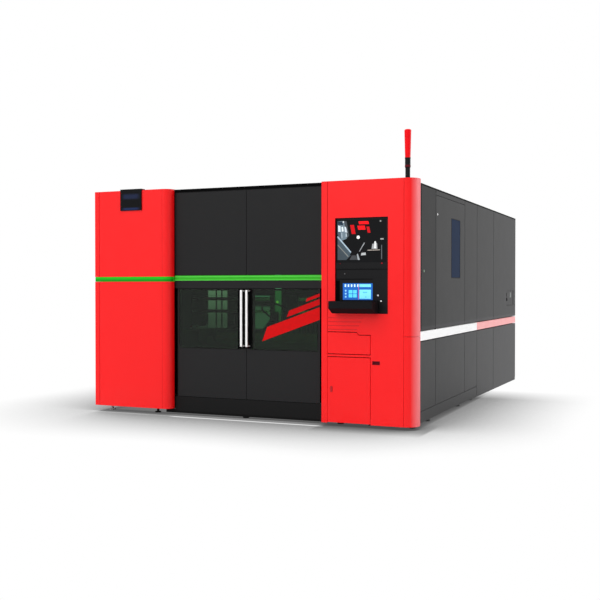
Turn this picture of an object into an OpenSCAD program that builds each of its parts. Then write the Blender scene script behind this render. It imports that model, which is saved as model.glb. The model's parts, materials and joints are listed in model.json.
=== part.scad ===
// Fully enclosed flat-bed laser cutting machine with a red console column.
// X runs across the front, Y into the depth, Z up from the floor.
// Lengths in Y are counted from the red fronts and moved by front_y at the end.

/* [Enclosure] */
// Width over both red columns
machine_w = 3310; // [3290:5:3400]
// Depth from the red fronts to the rear panels
machine_d = 4700; // [4650:10:4900]
// Height of the side walls and roof
side_h = 2145; // [2120:5:2160]
// Height of the dark centre front
centre_h = 2170; // [2165:1:2180]
// Height of the left red cabinet
left_h = 2185; // [2180:1:2220]
// Height of the red console column
console_h = 2180; // [2175:1:2220]
// Width of the left red cabinet
left_w = 865; // [861:2:871]
// Width of the red console column
console_w = 872; // [866:2:884]
// Set-back of the dark centre front behind the red fronts
set_back = 95; // [90:1:105]
// Thickness of the sheet metal
sheet_t = 3; // [2:0.5:3.5]
// Depth of the folded panel edges
pan_d = 40; // [36:1:44]
// Width of the open seams between panels
seam = 4; // [3:0.5:5]
// Width of the open seams in the right side wall
side_seam = 10; // [6:1:14]
// Height of the side panels above the floor
skirt_z = 51; // [44:1:56]

/* [Red covers] */
// Height of the console column's lower edge above the floor
console_z = 30; // [26:1:34]
// Height of the kick plate above the floor
kick_z = 20; // [16:1:28]
// Length of the plinth under the left cabinet
plinth_l = 100; // [60:5:120]
// Height of the left cabinet's lower edge above the floor
left_z = 62; // [60:1:80]
// Width of the outer trim strip on the left cabinet
left_trim_w = 49; // [44:1:56]
// Width of the inner trim strip on the console column
console_trim_w = 55; // [50:1:57]
// Corner radius of the left cabinet
left_r = 84; // [80:1:88]
// Width of the groove beside the left cabinet's rounded corner
corner_groove_w = 4; // [3:0.5:6]
// Depth of the groove beside the left cabinet's rounded corner
corner_groove_d = 2; // [1:0.25:2]
// Corner radius of the console column
console_r = 110; // [100:1:120]
// Depth of the fold behind the console sheet
fold_d = 20; // [18:1:22]
// Height of the seam in the rounded console corner
corner_seam_z = 811; // [780:1:840]

/* [Green band] */
// Lower edge of the band on the dark centre
band_z = 1302; // [1296:1:1308]
// Height of the band on the dark centre
band_h = 48; // [44:1:52]
// Lower edge of the band on the left cabinet
left_band_z = 1293; // [1280:1:1300]
// Height of the band on the left cabinet
left_band_h = 46; // [40:1:50]
// Width of the middle groove in the band
band_groove_w = 12; // [8:1:16]
// Depth of the middle groove in the band
band_groove_d = 4; // [3:0.5:6]
// Gap between the left cabinet's band and its covers
band_gap = 1; // [1:0.5:3]

/* [Double door] */
// Lower edge of the door leaves
leaf_z0 = 184; // [180:1:190]
// Upper edge of the door leaves
leaf_z1 = 1224; // [1215:1:1226]
// Free gap beside each hinge edge
hinge_gap = 33; // [30:1:35]
// Width of the hidden jamb beside the console column
jamb_w = 21; // [18:1:24]
// Lower edge of the panes
pane_z0 = 652; // [620:1:680]
// Free height above the panes
pane_top = 4; // [4:1:16]
// Width of the leaf frame on the hinge side of a pane
hinge_stile = 18; // [18:1:50]
// Width of the leaf frame on the meeting side of a pane
meeting_stile = 58; // [56:1:90]
// Thickness of the panes
pane_t = 6; // [5:0.5:8]
// Distance of the pivot axes from the leaf faces and edges
pivot_in = 10; // [9:0.5:11]
// Radius of the door pivot pins
pin_r = 5; // [4:0.5:6]
// Height of the door handles
handle_h = 530; // [480:10:560]
// Lower end of the door handles
handle_z = 681; // [670:1:690]
// Width of the handle bars
handle_w = 20; // [18:1:26]
// Thickness of the handle bars
handle_t = 14; // [8:1:16]
// How far the handles stand out from the leaves
handle_out = 60; // [50:1:70]
// Radius of the handles' bends
handle_bend = 6; // [4:1:8]
// Distance of the handle bars from the meeting seam
handle_x = 18; // [15:1:20]

/* [Console] */
// Left edge of the console cut-out, from the column's inner edge
cut_x = 130; // [126:1:134]
// Width of the console cut-out
cut_w = 490; // [480:1:500]
// Lower edge of the console cut-out
cut_z0 = 1006; // [1004:1:1008]
// Upper edge of the console cut-out
cut_z1 = 1850; // [1840:5:1900]
// Set-back of the fascia behind the red front
fascia_y = 12; // [10:1:14]
// Width of the upper display's visible face
display_w = 462; // [450:2:466]
// Height of the upper display's visible face
display_h = 374; // [350:2:380]
// Lower edge of the upper display's visible face
display_z = 1457; // [1450:1:1460]
// Width of the touch screen's visible face
touch_w = 279; // [270:1:290]
// Height of the touch screen's visible face
touch_h = 146; // [140:1:150]
// Lower edge of the touch screen's visible face
touch_z = 1127; // [1126:1:1130]
// Width of the push-button panel
button_panel_w = 138; // [132:1:140]
// Radius of the push buttons
button_r = 7; // [6:0.5:9]
// How far the push buttons stand out
button_out = 4; // [3:0.5:5]
// Width of the pull-out keyboard tray
tray_w = 400; // [380:5:410]
// How far the keyboard tray stands out
tray_out = 170; // [150:5:180]
// Length of the keyboard tray
tray_l = 420; // [400:5:440]
// Height of the keyboard tray
tray_h = 110; // [104:1:110]
// Width of the two console doors
small_door_w = 398; // [380:2:410]
// Thickness of the two console doors
small_door_t = 18; // [16:1:18]
// Width of the open seams round the two console doors
console_seam = 7; // [5:0.5:8]
// Width of the open seam beside the rounded console corner
corner_seam = 4; // [2:0.5:5]
// Upper edge of the cupboard door
cupboard_z1 = 617; // [600:1:620]
// Lower edge of the compartment door
compartment_z0 = 649; // [648:1:660]
// Upper edge of the compartment door
compartment_z1 = 838; // [820:1:842]
// Drop of the compartment door's upper edge on its right side
compartment_step = 24; // [20:1:28]
// Radius of the console door pins
small_pin_r = 2.5; // [2:0.25:3]
// Height of the louvre slots
slot_h = 9; // [7:0.5:12]
// Pitch of the louvre slots
slot_pitch = 34; // [30:1:36]
// Number of louvre slots
slot_n = 4; // [3:1:4]
// Depth of the louvre slots down to the plate behind them
slot_d = 3; // [2:0.5:4]

/* [Signal lamp] */
// Radius of the lamp's foot
lamp_r = 21; // [18:1:24]
// Height of the lamp's black base
lamp_base_h = 178; // [170:1:200]
// Height of the lamp's red lens
lamp_lens_h = 245; // [230:1:260]
// Radius of the lens near its top
lens_r = 30; // [27:1:33]

/* [Side wall] */
// First panel seam
seam_y1 = 650; // [640:5:660]
// Second panel seam, behind the service door
seam_y2 = 1800; // [1780:5:1830]
// Third panel seam, at the end of the white band
seam_y3 = 2380; // [2360:5:2400]
// Width of the rearmost panel
rear_panel_w = 1430; // [1400:5:1460]
// Lower edge of the side band
side_band_z = 770; // [750:1:780]
// Height of the side band
side_band_h = 80; // [70:1:90]
// Upper edge of the skirt
skirt_top = 150; // [140:1:170]
// Height of the strip above the service door
service_top_strip = 56; // [50:1:60]
// Front edge of the service window
window_y = 1232; // [1200:5:1260]
// Width of the service window
window_w = 360; // [340:5:380]
// Lower edge of the service window
window_z = 1330; // [1300:5:1360]
// Distance from the side wall's top down to the window's upper edge
window_drop = 234; // [220:2:250]
// Radius of the service door pins
service_pin_r = 4; // [3:0.5:4]
// Distance of the switch recess's front edge from the rear
recess_back = 630; // [610:5:660]
// Depth of the switch recess
recess_d = 19; // [18:1:24]
// Width of the switch recess
recess_w = 500; // [480:5:520]
// Lower edge of the switch recess
recess_z = 1000; // [980:1:1020]
// Height of the switch recess
recess_h = 203; // [190:1:210]
// Radius of the rotary switch knob
knob_r = 22; // [18:1:26]

/* [Frame] */
// Outer size of the square frame tubes
tube_b = 80; // [70:5:80]
// Wall of the frame tubes
tube_wall = 4; // [3:0.5:6]
// Height of the frame above the floor
frame_z = 60; // [58:1:61]
// Radius of the levelling feet
foot_r = 30; // [28:1:45]
// Radius of the threaded foot stems
stem_r = 12; // [10:1:16]

/* [Laser bed] */
// Half distance between the guide rails
rail_x = 1000; // [980:5:1020]
// Width of the bed beams
bed_beam_w = 200; // [180:5:220]
// Height of the bed beams
bed_beam_h = 240; // [220:5:260]
// Top of the bed beams
bed_z = 800; // [790:5:810]
// Wall of the bed beams
bed_wall = 12; // [10:1:16]
// Front end of the bed
bed_y0 = 760; // [750:5:780]
// Distance of the bed's rear end from the rear panels
bed_back = 240; // [200:10:290]
// Width of the guide rails
rail_w = 35; // [30:1:45]
// Height of the guide rails
rail_h = 36; // [34:1:40]
// Front end of the slat table
table_y0 = 800; // [790:5:810]
// Distance of the slat table's rear end from the rear panels
table_back = 940; // [900:20:1000]
// Width between the slat table's side walls
table_w = 1528; // [1500:4:1532]
// Number of slats
slat_n = 24; // [16:1:26]
// Thickness of the slats
slat_t = 5; // [4:0.5:6]
// Height of the slats over their teeth
slat_h = 110; // [100:1:114]
// Height of the slat teeth
tooth_h = 20; // [14:1:24]
// Number of teeth on one slat
tooth_n = 30; // [20:1:32]

/* [Gantry] */
// Resting place of the gantry beam's middle
gantry_y = 1100; // [1090:5:1120]
// Depth of the gantry beam
beam_d = 220; // [200:5:220]
// Lower side of the gantry beam
beam_z = 950; // [945:1:955]
// Height of the gantry beam
beam_h = 200; // [180:5:210]
// Wall of the gantry beam
beam_wall = 8; // [6:1:10]
// Resting place of the carriage across the machine
head_x = -15; // [-80:5:0]
// Width of the Z housing
housing_w = 70; // [70:2:90]
// Depth of the Z housing
housing_d = 124; // [116:2:130]
// Height of the Z housing's lower end
housing_z = 990; // [980:1:1000]
// Height of the Z housing
housing_h = 470; // [450:5:490]
// Radius of the cutting head
head_r = 25; // [20:1:26]
// Height of the nozzle tip above the slat teeth
nozzle_gap = 50; // [48:1:60]
// Radius of the hose on the carriage
hose_r = 9; // [7:0.5:10]

/* [Roof outlet] */
// Inner radius of the extraction collar
duct_r = 150; // [125:5:160]
// Height of the extraction collar
duct_h = 100; // [80:5:120]
// Wall of the extraction collar
duct_wall = 4; // [3:0.5:6]
// Distance of the collar from the machine's middle
duct_x = 600; // [550:10:700]
// Distance of the collar from the rear panels
duct_back = 700; // [650:10:800]

/* [Hidden] */
$fn = 64;

// Clearance between pieces that rest on each other
seat = 0.3;
// Overcut of cutting bodies
eps = 1;
// Radial clearance of running pins
run = 0.06;

// Half width, and the inner edges of the two red columns
hw = machine_w / 2;
lx = left_w - hw;
rx = hw - console_w;
// Shift from lengths counted from the red fronts to the middle of the machine
front_y = -(machine_d - tray_out) / 2;
// Lengths that follow the machine's depth
seam_y4 = machine_d - rear_panel_w;
recess_y = machine_d - recess_back;
duct_y = machine_d - duct_back;
bed_l = machine_d - bed_y0 - bed_back;
table_l = machine_d - table_y0 - table_back;
// Front face of the frame behind the dark centre
leaf_gap = 3;
frame_y = set_back + pan_d + leaf_gap;
// Outer faces of the frame at the sides, the rear and the top
frame_x = hw - pan_d - seat;
frame_y1 = machine_d - pan_d - seat;
frame_top = side_h - pan_d - seat;
post_z0 = frame_z + tube_b;
post_z1 = frame_top - tube_b;
// Middle lines of the frame posts along the side walls
post_ys = [frame_y + tube_b / 2, seam_y1, seam_y2, seam_y3, seam_y4, frame_y1 - tube_b / 2];
// Front edge of the side walls
side_y = frame_y + 2;
// Meeting seam of the double door, in the middle between its two hinge gaps
door_x1 = rx - jamb_w;
seam_x = (lx + door_x1) / 2;
leaf_w = (door_x1 - lx) / 2 - hinge_gap - seam / 2;
// Header beam of the frame, behind the green band
header_z = leaf_z1 + 6;
// Console cut-out
cut_x0 = rx + cut_x;
cut_x1 = cut_x0 + cut_w;
// Left edge of the console sheet and of its doors
sheet_x0 = rx + console_trim_w + seam;
sheet_x1 = hw - console_r;
door_edge_x = sheet_x0 + small_door_w;
// Clearance of the small door pivots from face and edge
small_in = 6;
band_bar_z0 = cupboard_z1 + console_seam;
band_bar_z1 = compartment_z0 - console_seam;
// Shelf planes in the console column
shelf_low = post_z0 + seat;
shelf_mid = (band_bar_z0 + band_bar_z1) / 2;
shelf_high = cut_z0 - 23;
cabinet_y = 600;
// Top line of the compartment door: the long left part ends here
step_x = sheet_x0 + 271;
step_run = 19;
// Upper edge and length of the highest louvre slot
slot_z = 971;
// Lower edge of the plate behind the louvre slots
slot_z0 = slot_z - (slot_n - 1) * slot_pitch - slot_h - 5;
slot_l = 340;
// Cut-out of the port plate in the console's front sheet
port_x0 = sheet_x0 + 419;
port_w = 70;
port_z0 = 559;
port_z1 = 592;
// Top edges of the red covers under their caps
left_top = left_h - sheet_t - seat;
console_top = console_h - sheet_t - seat;
// Panel top under the thin black cap
cap_h = 20;
panel_top = centre_h - cap_h - seat;
// Rebate and ledge of the panes
rebate = 1;
ledge = 14;
// Middle of the service door's pivot, and the door's depth
service_in = 8;
window_h = side_h - window_drop - window_z;
service_d = pan_d - 4;
service_z0 = side_band_z + side_band_h + side_seam;
service_z1 = side_h - service_top_strip - seam;
// Bed
cross_b = 80;
cross_z1 = 640;
tie_z = bed_z - bed_beam_h + 40;
tie_ys = [seam_y2, seam_y4];
cross_ys = [for (i = [0:4]) table_y0 + 60 + i * (table_l - 120) / 4];
leg_ys = [bed_y0 + 200, bed_y0 + bed_l / 2, bed_y0 + bed_l - 200];
bed_inner = rail_x - bed_beam_w / 2;
slat_z0 = 680;
slat_top = slat_z0 + slat_h;
// Gantry
truck_w = 140;
truck_l = 400;
block_z1 = bed_z + 70;
beam_x = rail_x + 130;
beam_y0 = gantry_y - beam_d / 2;
x_rail_d = 25;
plate_y1 = beam_y0 - x_rail_d - 5;
plate_t = 25;
plate_y0 = plate_y1 - plate_t;
housing_y1 = plate_y0 - seat;
housing_y0 = housing_y1 - housing_d;
housing_wall = 8;
ram_clear = 0.4;
head_y = (housing_y0 + housing_y1) / 2;
nozzle_z = slat_top + nozzle_gap;
// Carriage plate
plate_z0 = beam_z - 70;
plate_half = 150;
slider_w = 80;
slider_h = 60;
// Hose glands
gland_z = plate_z0 + 4;
gland_h = 16;
hose_z = gland_z + gland_h + seat;
// Console interior
display_x = cut_x0 + 12;
display_d = 45;
touch_x = cut_x0 + 68;
touch_d = 35;
fascia_lap = 10;
panel_x = cut_x1 - 3 - button_panel_w;
panel_z0 = 1060;
panel_z1 = 1320;
button_face = fascia_y - 6;
button_spots = [[cut_x1 - 91, 1167], [cut_x1 - 63, 1117]];
tray_x = cut_x0 + 2;
tray_z = cut_z0 + 2;
tray_lip = 64;
tray_slope = 90;
runner_l = 380;
// Lamp place on the console's top
lamp_x = hw - 96;
lamp_y = 70;
// Latch of the cupboard door
lock_x = sheet_x0 + 37;
lock_z = 333;
lock_r = 6;
// Rotary switch
knob_y = recess_y + 85;
knob_z = recess_z + 83;

// Box between two corners
module block(lo, hi) {
    translate(lo) cube(hi - lo);
}

// Square tube between two corners, open along one axis
module tube(lo, hi, axis, wall = tube_wall) {
    inset = [for (i = [0:2]) i == axis ? -eps : wall];
    difference() {
        block(lo, hi);
        block(lo + inset, hi - inset);
    }
}

// Folded sheet in the box between two corners: a flat face and four edges folded back.
// out is the side of the axis that the face looks to.
module pan(lo, hi, axis, out) {
    low = [for (i = [0:2]) i != axis ? sheet_t : out < 0 ? sheet_t : -eps];
    high = [for (i = [0:2]) i != axis ? sheet_t : out > 0 ? sheet_t : -eps];
    difference() {
        block(lo, hi);
        block(lo + low, hi - high);
    }
}

// Extrusion of an X-Z outline from y0 to y1
module slab_y(y0, y1) {
    translate([0, y1, 0]) rotate([90, 0, 0]) linear_extrude(y1 - y0) children();
}

// Extrusion of a Y-Z outline from x0 to x1
module bar_x(x0, x1) {
    translate([x0, 0, 0]) rotate([90, 0, 90]) linear_extrude(x1 - x0) children();
}

// Extrusion of an X-Y outline from z0 to z1
module rise(z0, z1) {
    translate([0, 0, z0]) linear_extrude(z1 - z0) children();
}

// Moves lengths counted from the red fronts to the middle of the machine
module placed() {
    translate([0, front_y, 0]) children();
}

// Plan of a column: flat front from x0, corner of radius r at x1, inset all round
module column_plan(x0, x1, r, y1, inset) {
    translate([x0, inset]) square([x1 - r - x0, y1 - inset]);
    translate([x1 - r, r]) square([r - inset, y1 - r]);
    translate([x1 - r, r]) intersection() {
        circle(r - inset);
        translate([0, -r]) square([r, r]);
    }
}

// Bent sheet of a column front with a fold that rests on the post behind it
module column_skin(x0, x1, r, z0, z1, inset = 0) {
    back = frame_y - seat;
    rise(z0, z1) {
        difference() {
            column_plan(x0, x1, r, back, inset);
            translate([-eps, 0]) column_plan(x0, x1 + eps, r, back + eps, inset + sheet_t);
        }
        translate([x0, inset]) square([sheet_t, fold_d - inset]);
        translate([x1 - 60, back - sheet_t]) square([60 - inset, sheet_t]);
    }
}

// Levelling foot: round pad, threaded stem and locking nut
module foot(x, y, top) {
    translate([x, y, 0]) {
        cylinder(h = 10, r = foot_r);
        cylinder(h = top, r = stem_r);
        translate([0, 0, top - 14]) cylinder(h = 14, r = stem_r * 1.7, $fn = 6);
    }
}

module feet() {
    side_x = frame_x - tube_b / 2;
    color("dimgray") placed() {
        for (x = [-side_x, side_x], y = post_ys) foot(x, y, frame_z);
        for (x = [lx - 245, -60, rx + 117]) foot(x, post_ys[0], frame_z);
        for (x = [-rail_x, rail_x], y = leg_ys) foot(x, y, frame_z);
    }
}

module frame_long() {
    color("gray") placed() for (x = [-frame_x, frame_x - tube_b], z = [frame_z, post_z1])
        tube([x, frame_y, z], [x + tube_b, frame_y1, z + tube_b], 1);
}

module frame_cross() {
    x1 = frame_x - tube_b;
    color("gray") placed() {
        for (y = [frame_y, frame_y1 - tube_b], z = [frame_z, post_z1])
            tube([-x1, y, z], [x1, y + tube_b, z + tube_b], 0);
        for (y = [seam_y1, seam_y2, seam_y4])
            tube([-x1, y - tube_b / 2, post_z1], [x1, y + tube_b / 2, frame_top], 0);
        tube([lx, frame_y, header_z], [door_x1, frame_y + tube_b, header_z + tube_b], 0);
    }
}

module frame_posts() {
    x = frame_x - tube_b;
    color("gray") placed() {
        for (px = [-frame_x, x], y = post_ys)
            tube([px, y - tube_b / 2, post_z0], [px + tube_b, y + tube_b / 2, post_z1], 2);
        for (px = [lx - tube_b, door_x1])
            tube([px, frame_y, post_z0], [px + tube_b, frame_y + tube_b, post_z1], 2);
        for (px = [-540, 540])
            tube([px - tube_b / 2, frame_y1 - tube_b, post_z0], [px + tube_b / 2, frame_y1, post_z1], 2);
    }
}

module bed_beams() {
    color("slategray") placed() for (s = [-1, 1]) {
        x0 = s * rail_x - bed_beam_w / 2;
        tube([x0, bed_y0, bed_z - bed_beam_h], [x0 + bed_beam_w, bed_y0 + bed_l, bed_z], 1, bed_wall);
    }
}

module bed_supports() {
    leg_b = bed_beam_w - 20;
    // Ties between the bed beams and the frame posts
    tie_x0 = rail_x + bed_beam_w / 2 + seat;
    tie_x1 = frame_x - tube_b - seat;
    color("slategray") placed() {
        for (x = [-rail_x, rail_x], y = leg_ys) {
            tube([x - leg_b / 2, y - leg_b / 2, frame_z], [x + leg_b / 2, y + leg_b / 2, bed_z - bed_beam_h], 2, bed_wall);
            block([x - leg_b / 2, y - leg_b / 2, frame_z], [x + leg_b / 2, y + leg_b / 2, frame_z + bed_wall]);
        }
        for (s = [-1, 1], y = tie_ys)
            tube([s > 0 ? tie_x0 : -tie_x1, y - tube_b / 2, tie_z], [s > 0 ? tie_x1 : -tie_x0, y + tube_b / 2, tie_z + tube_b], 0);
        for (y = cross_ys)
            tube([seat - bed_inner, y - cross_b / 2, cross_z1 - cross_b], [bed_inner - seat, y + cross_b / 2, cross_z1], 0, 6);
    }
}

// Guide rail with a waist, and the rack bar beside it
module guide_rails() {
    waist = rail_w / 2 - 4;
    half = rail_w / 2;
    color("silver") placed() for (s = [-1, 1]) {
        slab_y(bed_y0 + 10, bed_y0 + bed_l - 10) translate([s * rail_x, bed_z]) polygon([
            [-half, 0], [half, 0], [half, 10], [waist, 15], [waist, rail_h - 12], [half, rail_h - 7],
            [half, rail_h], [-half, rail_h], [-half, rail_h - 7], [-waist, rail_h - 12], [-waist, 15], [-half, 10]
        ]);
        slab_y(bed_y0 + 10, bed_y0 + bed_l - 10) translate([s * (rail_x - 70) - 12, bed_z]) square([24, 28]);
    }
}

// Slat table frame: side bars with a ledge and a wall that holds the slat ends
module slat_frame() {
    half = table_w / 2;
    y1 = table_y0 + table_l;
    color("dimgray") placed() {
        for (s = [-1, 1]) slab_y(table_y0, y1) polygon([for (p = [
            [half - 24, cross_z1], [half + 66, cross_z1], [half + 66, slat_z0 + 40], [half + 6, slat_z0 + 40],
            [half + 6, slat_top - tooth_h], [half, slat_top - tooth_h], [half, slat_z0 - seat], [half - 24, slat_z0 - seat]
        ]) [s * p[0], p[1]]]);
        for (y = [table_y0, y1 - 60])
            tube([24.3 - half, y, cross_z1], [half - 24.3, y + 60, slat_z0 - seat], 0, 5);
    }
}

// Outline of a slat: straight foot, saw teeth on top
function slat_outline(half) = concat(
    [[half, slat_z0], [-half, slat_z0]],
    [for (i = [0:tooth_n - 1]) let (p = 2 * half / tooth_n, x = i * p - half)
        each [[x, slat_top - tooth_h], [x + p * 0.55, slat_top], [x + p * 0.7, slat_top]]],
    [[half, slat_top - tooth_h]]
);

module slats() {
    pitch = (table_l - 160) / (slat_n - 1);
    color("darkgray") placed() for (i = [0:slat_n - 1]) {
        y = table_y0 + 80 + i * pitch;
        slab_y(y - slat_t / 2, y + slat_t / 2) polygon(slat_outline(table_w / 2 - seat));
    }
}

// Sloping plates that lead cut scrap to the trough in the middle
module slag_chutes() {
    y0 = bed_y0 + 40;
    y1 = bed_y0 + bed_l - 40;
    x_top = bed_inner - seat;
    x_low = 200;
    z_top = cross_z1 - cross_b - seat;
    z_low = 250;
    trough_z = 90;
    color("gray") placed() {
        for (s = [-1, 1]) slab_y(y0, y1) polygon([
            [s * x_top, z_top], [s * x_top, z_top - 6], [s * x_low, z_low - 6], [s * x_low, z_low]
        ]);
        pan([seat - x_low, y0, trough_z], [x_low - seat, y1, z_low], 2, -1);
        for (y = [y0 + 300, y1 - 300]) block([-120, y - 40, 0], [120, y + 40, trough_z - seat]);
    }
}

// Cover of the left cabinet with the groove beside its rounded corner
module left_skin(z0, z1) {
    x = lx - left_r;
    difference() {
        column_skin(left_trim_w + seam - hw, lx, left_r, z0, z1);
        block([x - corner_groove_w, -eps, z0 - eps], [x, corner_groove_d, z1 + eps]);
    }
}

module left_cover_upper() {
    color("red") placed() left_skin(left_band_z + left_band_h + band_gap, left_top);
}

module left_cover_lower() {
    color("red") placed() left_skin(left_z, left_band_z - band_gap);
}

// Narrow strip with its side folded back to the frame
module left_trim(z0, z1) {
    back = frame_y - seat;
    block([-hw, 0, z0], [left_trim_w - hw, sheet_t, z1]);
    block([-hw, 0, z0], [sheet_t - hw, back, z1]);
    block([-hw, back - sheet_t, z0], [60 - hw, back, z1]);
    block([left_trim_w - sheet_t - hw, 0, z0], [left_trim_w - hw, fold_d, z1]);
}

module edge_trims() {
    back = frame_y - seat;
    color("red") placed() {
        left_trim(left_z, left_band_z - band_gap);
        left_trim(left_band_z + left_band_h + band_gap, left_top);
        block([rx, 0, console_z], [rx + console_trim_w, sheet_t, console_top]);
        block([rx, 0, console_z], [rx + sheet_t, back, console_top]);
        block([rx + console_trim_w - sheet_t, 0, console_z], [rx + console_trim_w, fold_d, console_top]);
    }
}

module green_bands() {
    mid = band_z + band_h / 2;
    back = frame_y - seat;
    inset = 2;
    color("limegreen") placed() {
        column_skin(inset - hw, lx, left_r, left_band_z, left_band_z + left_band_h, inset);
        block([inset - hw, inset, left_band_z], [inset + sheet_t - hw, back, left_band_z + left_band_h]);
        difference() {
            block([lx + 2, set_back - 3, band_z], [rx - 2, back, band_z + band_h]);
            block([lx, set_back - 4, mid - band_groove_w / 2], [rx, set_back - 3 + band_groove_d, mid + band_groove_w / 2]);
            block([lx, set_back + 8, band_z + 5], [rx, back + eps, band_z + band_h - 5]);
        }
    }
}

// Plain black plate hooked over the left cabinet's top edge
module nameplate() {
    x0 = lx - 557;
    x1 = lx - 314;
    t = 10;
    color("black") placed() {
        block([x0, -t - seat, left_h - 197], [x1, -seat, left_h + 12]);
        block([x0, -t - seat, left_h + seat], [x1, 55, left_h + 12]);
    }
}

module upper_panels() {
    z0 = band_z + band_h + sheet_t;
    color("darkslategray") placed() {
        pan([lx + 2, set_back, z0], [seam_x - seam / 2, frame_y - seat, panel_top], 1, -1);
        pan([seam_x + seam / 2, set_back, z0], [rx - 2, frame_y - seat, panel_top], 1, -1);
    }
}

module centre_cap() {
    color("black") placed() block([lx + 2, set_back - 3, centre_h - cap_h], [rx - 2, frame_y + 1, centre_h]);
}

module header_rail() {
    color("darkslategray") placed()
        pan([lx + 2, set_back, leaf_z1 + seam], [rx - 2, frame_y - seat, band_z - 2], 1, -1);
}

module kick_plate() {
    color("black") placed() {
        pan([lx + 2, set_back, kick_z], [rx - 2, frame_y - seat, leaf_z0 - seam], 1, -1);
        block([lx - plinth_l, set_back, kick_z], [lx + 3, set_back + sheet_t, left_z - seam]);
    }
}

// One louvre slot; its right end follows the slanted line of the group
module slot_cut(i) {
    z1 = slot_z - i * slot_pitch;
    x0 = sheet_x0 + 4;
    x1 = sheet_x0 + slot_l - i * 20;
    slab_y(-eps, slot_d)
        polygon([[x0, z1 - slot_h], [x1 - slot_h * 0.7, z1 - slot_h], [x1, z1], [x0, z1]]);
}

// Outline of the compartment door, grown by d on every side
function compartment_outline(d) = [
    [sheet_x0 - d, compartment_z0 - d], [door_edge_x + d, compartment_z0 - d],
    [door_edge_x + d, compartment_z1 - compartment_step + d],
    [step_x + step_run + d / 2, compartment_z1 - compartment_step + d],
    [step_x + d / 2, compartment_z1 + d], [sheet_x0 - d, compartment_z1 + d]
];

module console_front() {
    edge = door_edge_x + console_seam;
    step_z = compartment_z1 - compartment_step + console_seam;
    color("red") placed() {
        difference() {
            union() {
                block([sheet_x0, 0, console_z], [sheet_x1, sheet_t, console_top]);
                block([sheet_x0, sheet_t / 2, slot_z0], [sheet_x0 + slot_l + 10, slot_d + 2, slot_z + 5]);
            }
            block([sheet_x0 - eps, -eps, console_z - eps], [edge, sheet_t + eps, cupboard_z1 + console_seam]);
            slab_y(-eps, sheet_t + eps) polygon(compartment_outline(console_seam));
            block([cut_x0, -eps, cut_z0], [cut_x1, sheet_t + eps, cut_z1]);
            for (i = [0:slot_n - 1]) slot_cut(i);
            block([port_x0, -eps, port_z0], [port_x0 + port_w, sheet_t + eps, port_z1]);
        }
        block([edge, 0, console_z], [edge + sheet_t, fold_d, step_z]);
        block([sheet_x1 - sheet_t, 0, console_z], [sheet_x1, fold_d, console_top]);
        pan([sheet_x0, 0, band_bar_z0], [edge + sheet_t, fold_d, band_bar_z1], 1, -1);
        block([step_x + step_run + console_seam, 0, step_z], [edge + sheet_t, fold_d, step_z + sheet_t]);
    }
}

// Rounded corner of the console column, in an upper and a lower half
module console_corners() {
    x0 = sheet_x1 + corner_seam;
    back = frame_y - seat;
    gap = 1.5;
    color("red") placed() for (z = [[console_z, corner_seam_z - gap], [corner_seam_z + gap, console_top]]) {
        intersection() {
            rise(z[0], z[1]) difference() {
                column_plan(rx, hw, console_r, back, 0);
                translate([-eps, 0]) column_plan(rx, hw + eps, console_r, back + eps, sheet_t);
            }
            block([x0, -eps, z[0] - eps], [hw + eps, back + eps, z[1] + eps]);
        }
        block([x0, sheet_t - 1, z[0]], [x0 + sheet_t, fold_d, z[1]]);
        block([hw - 60, back - sheet_t, z[0]], [hw - sheet_t / 2, back, z[1]]);
    }
}

// Bulkheads, back wall and shelves inside the console column
module cabinet_walls() {
    y0 = fold_d + seat;
    bulk_x = door_edge_x + console_seam;
    wall_x = door_x1 + tube_b + seat;
    z1 = post_z1 - 5;
    shelf_x0 = wall_x + sheet_t + seat;
    x1 = frame_x - tube_b - seat;
    color("gainsboro") placed() {
        block([bulk_x, y0, shelf_low], [bulk_x + sheet_t, cabinet_y, shelf_high - seat]);
        block([bulk_x, y0, console_z], [bulk_x + sheet_t, frame_y - seat, shelf_low + 5]);
        block([wall_x, frame_y + tube_b + seat, shelf_low], [wall_x + sheet_t, cabinet_y, z1]);
        block([wall_x, cabinet_y + seat, shelf_low], [x1, cabinet_y + sheet_t + seat, z1]);
        block([shelf_x0, y0, shelf_low], [bulk_x - seat, cabinet_y, shelf_low + sheet_t]);
        block([shelf_x0, y0, shelf_mid - sheet_t / 2], [bulk_x - seat, cabinet_y, shelf_mid + sheet_t / 2]);
        block([shelf_x0, y0, shelf_high], [x1, cabinet_y, shelf_high + sheet_t]);
    }
}

module cabinet_tops() {
    back = frame_y + sheet_t;
    color("red") placed() {
        rise(left_h - sheet_t, left_h) column_plan(-hw, lx, left_r, back, 0);
        block([-hw, frame_y, side_h + 1], [lx, back, left_h - sheet_t / 2]);
        rise(console_h - sheet_t, console_h) column_plan(rx, hw, console_r, back, 0);
        block([rx, frame_y, side_h + 1], [hw, back, console_h - sheet_t / 2]);
    }
}

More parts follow.
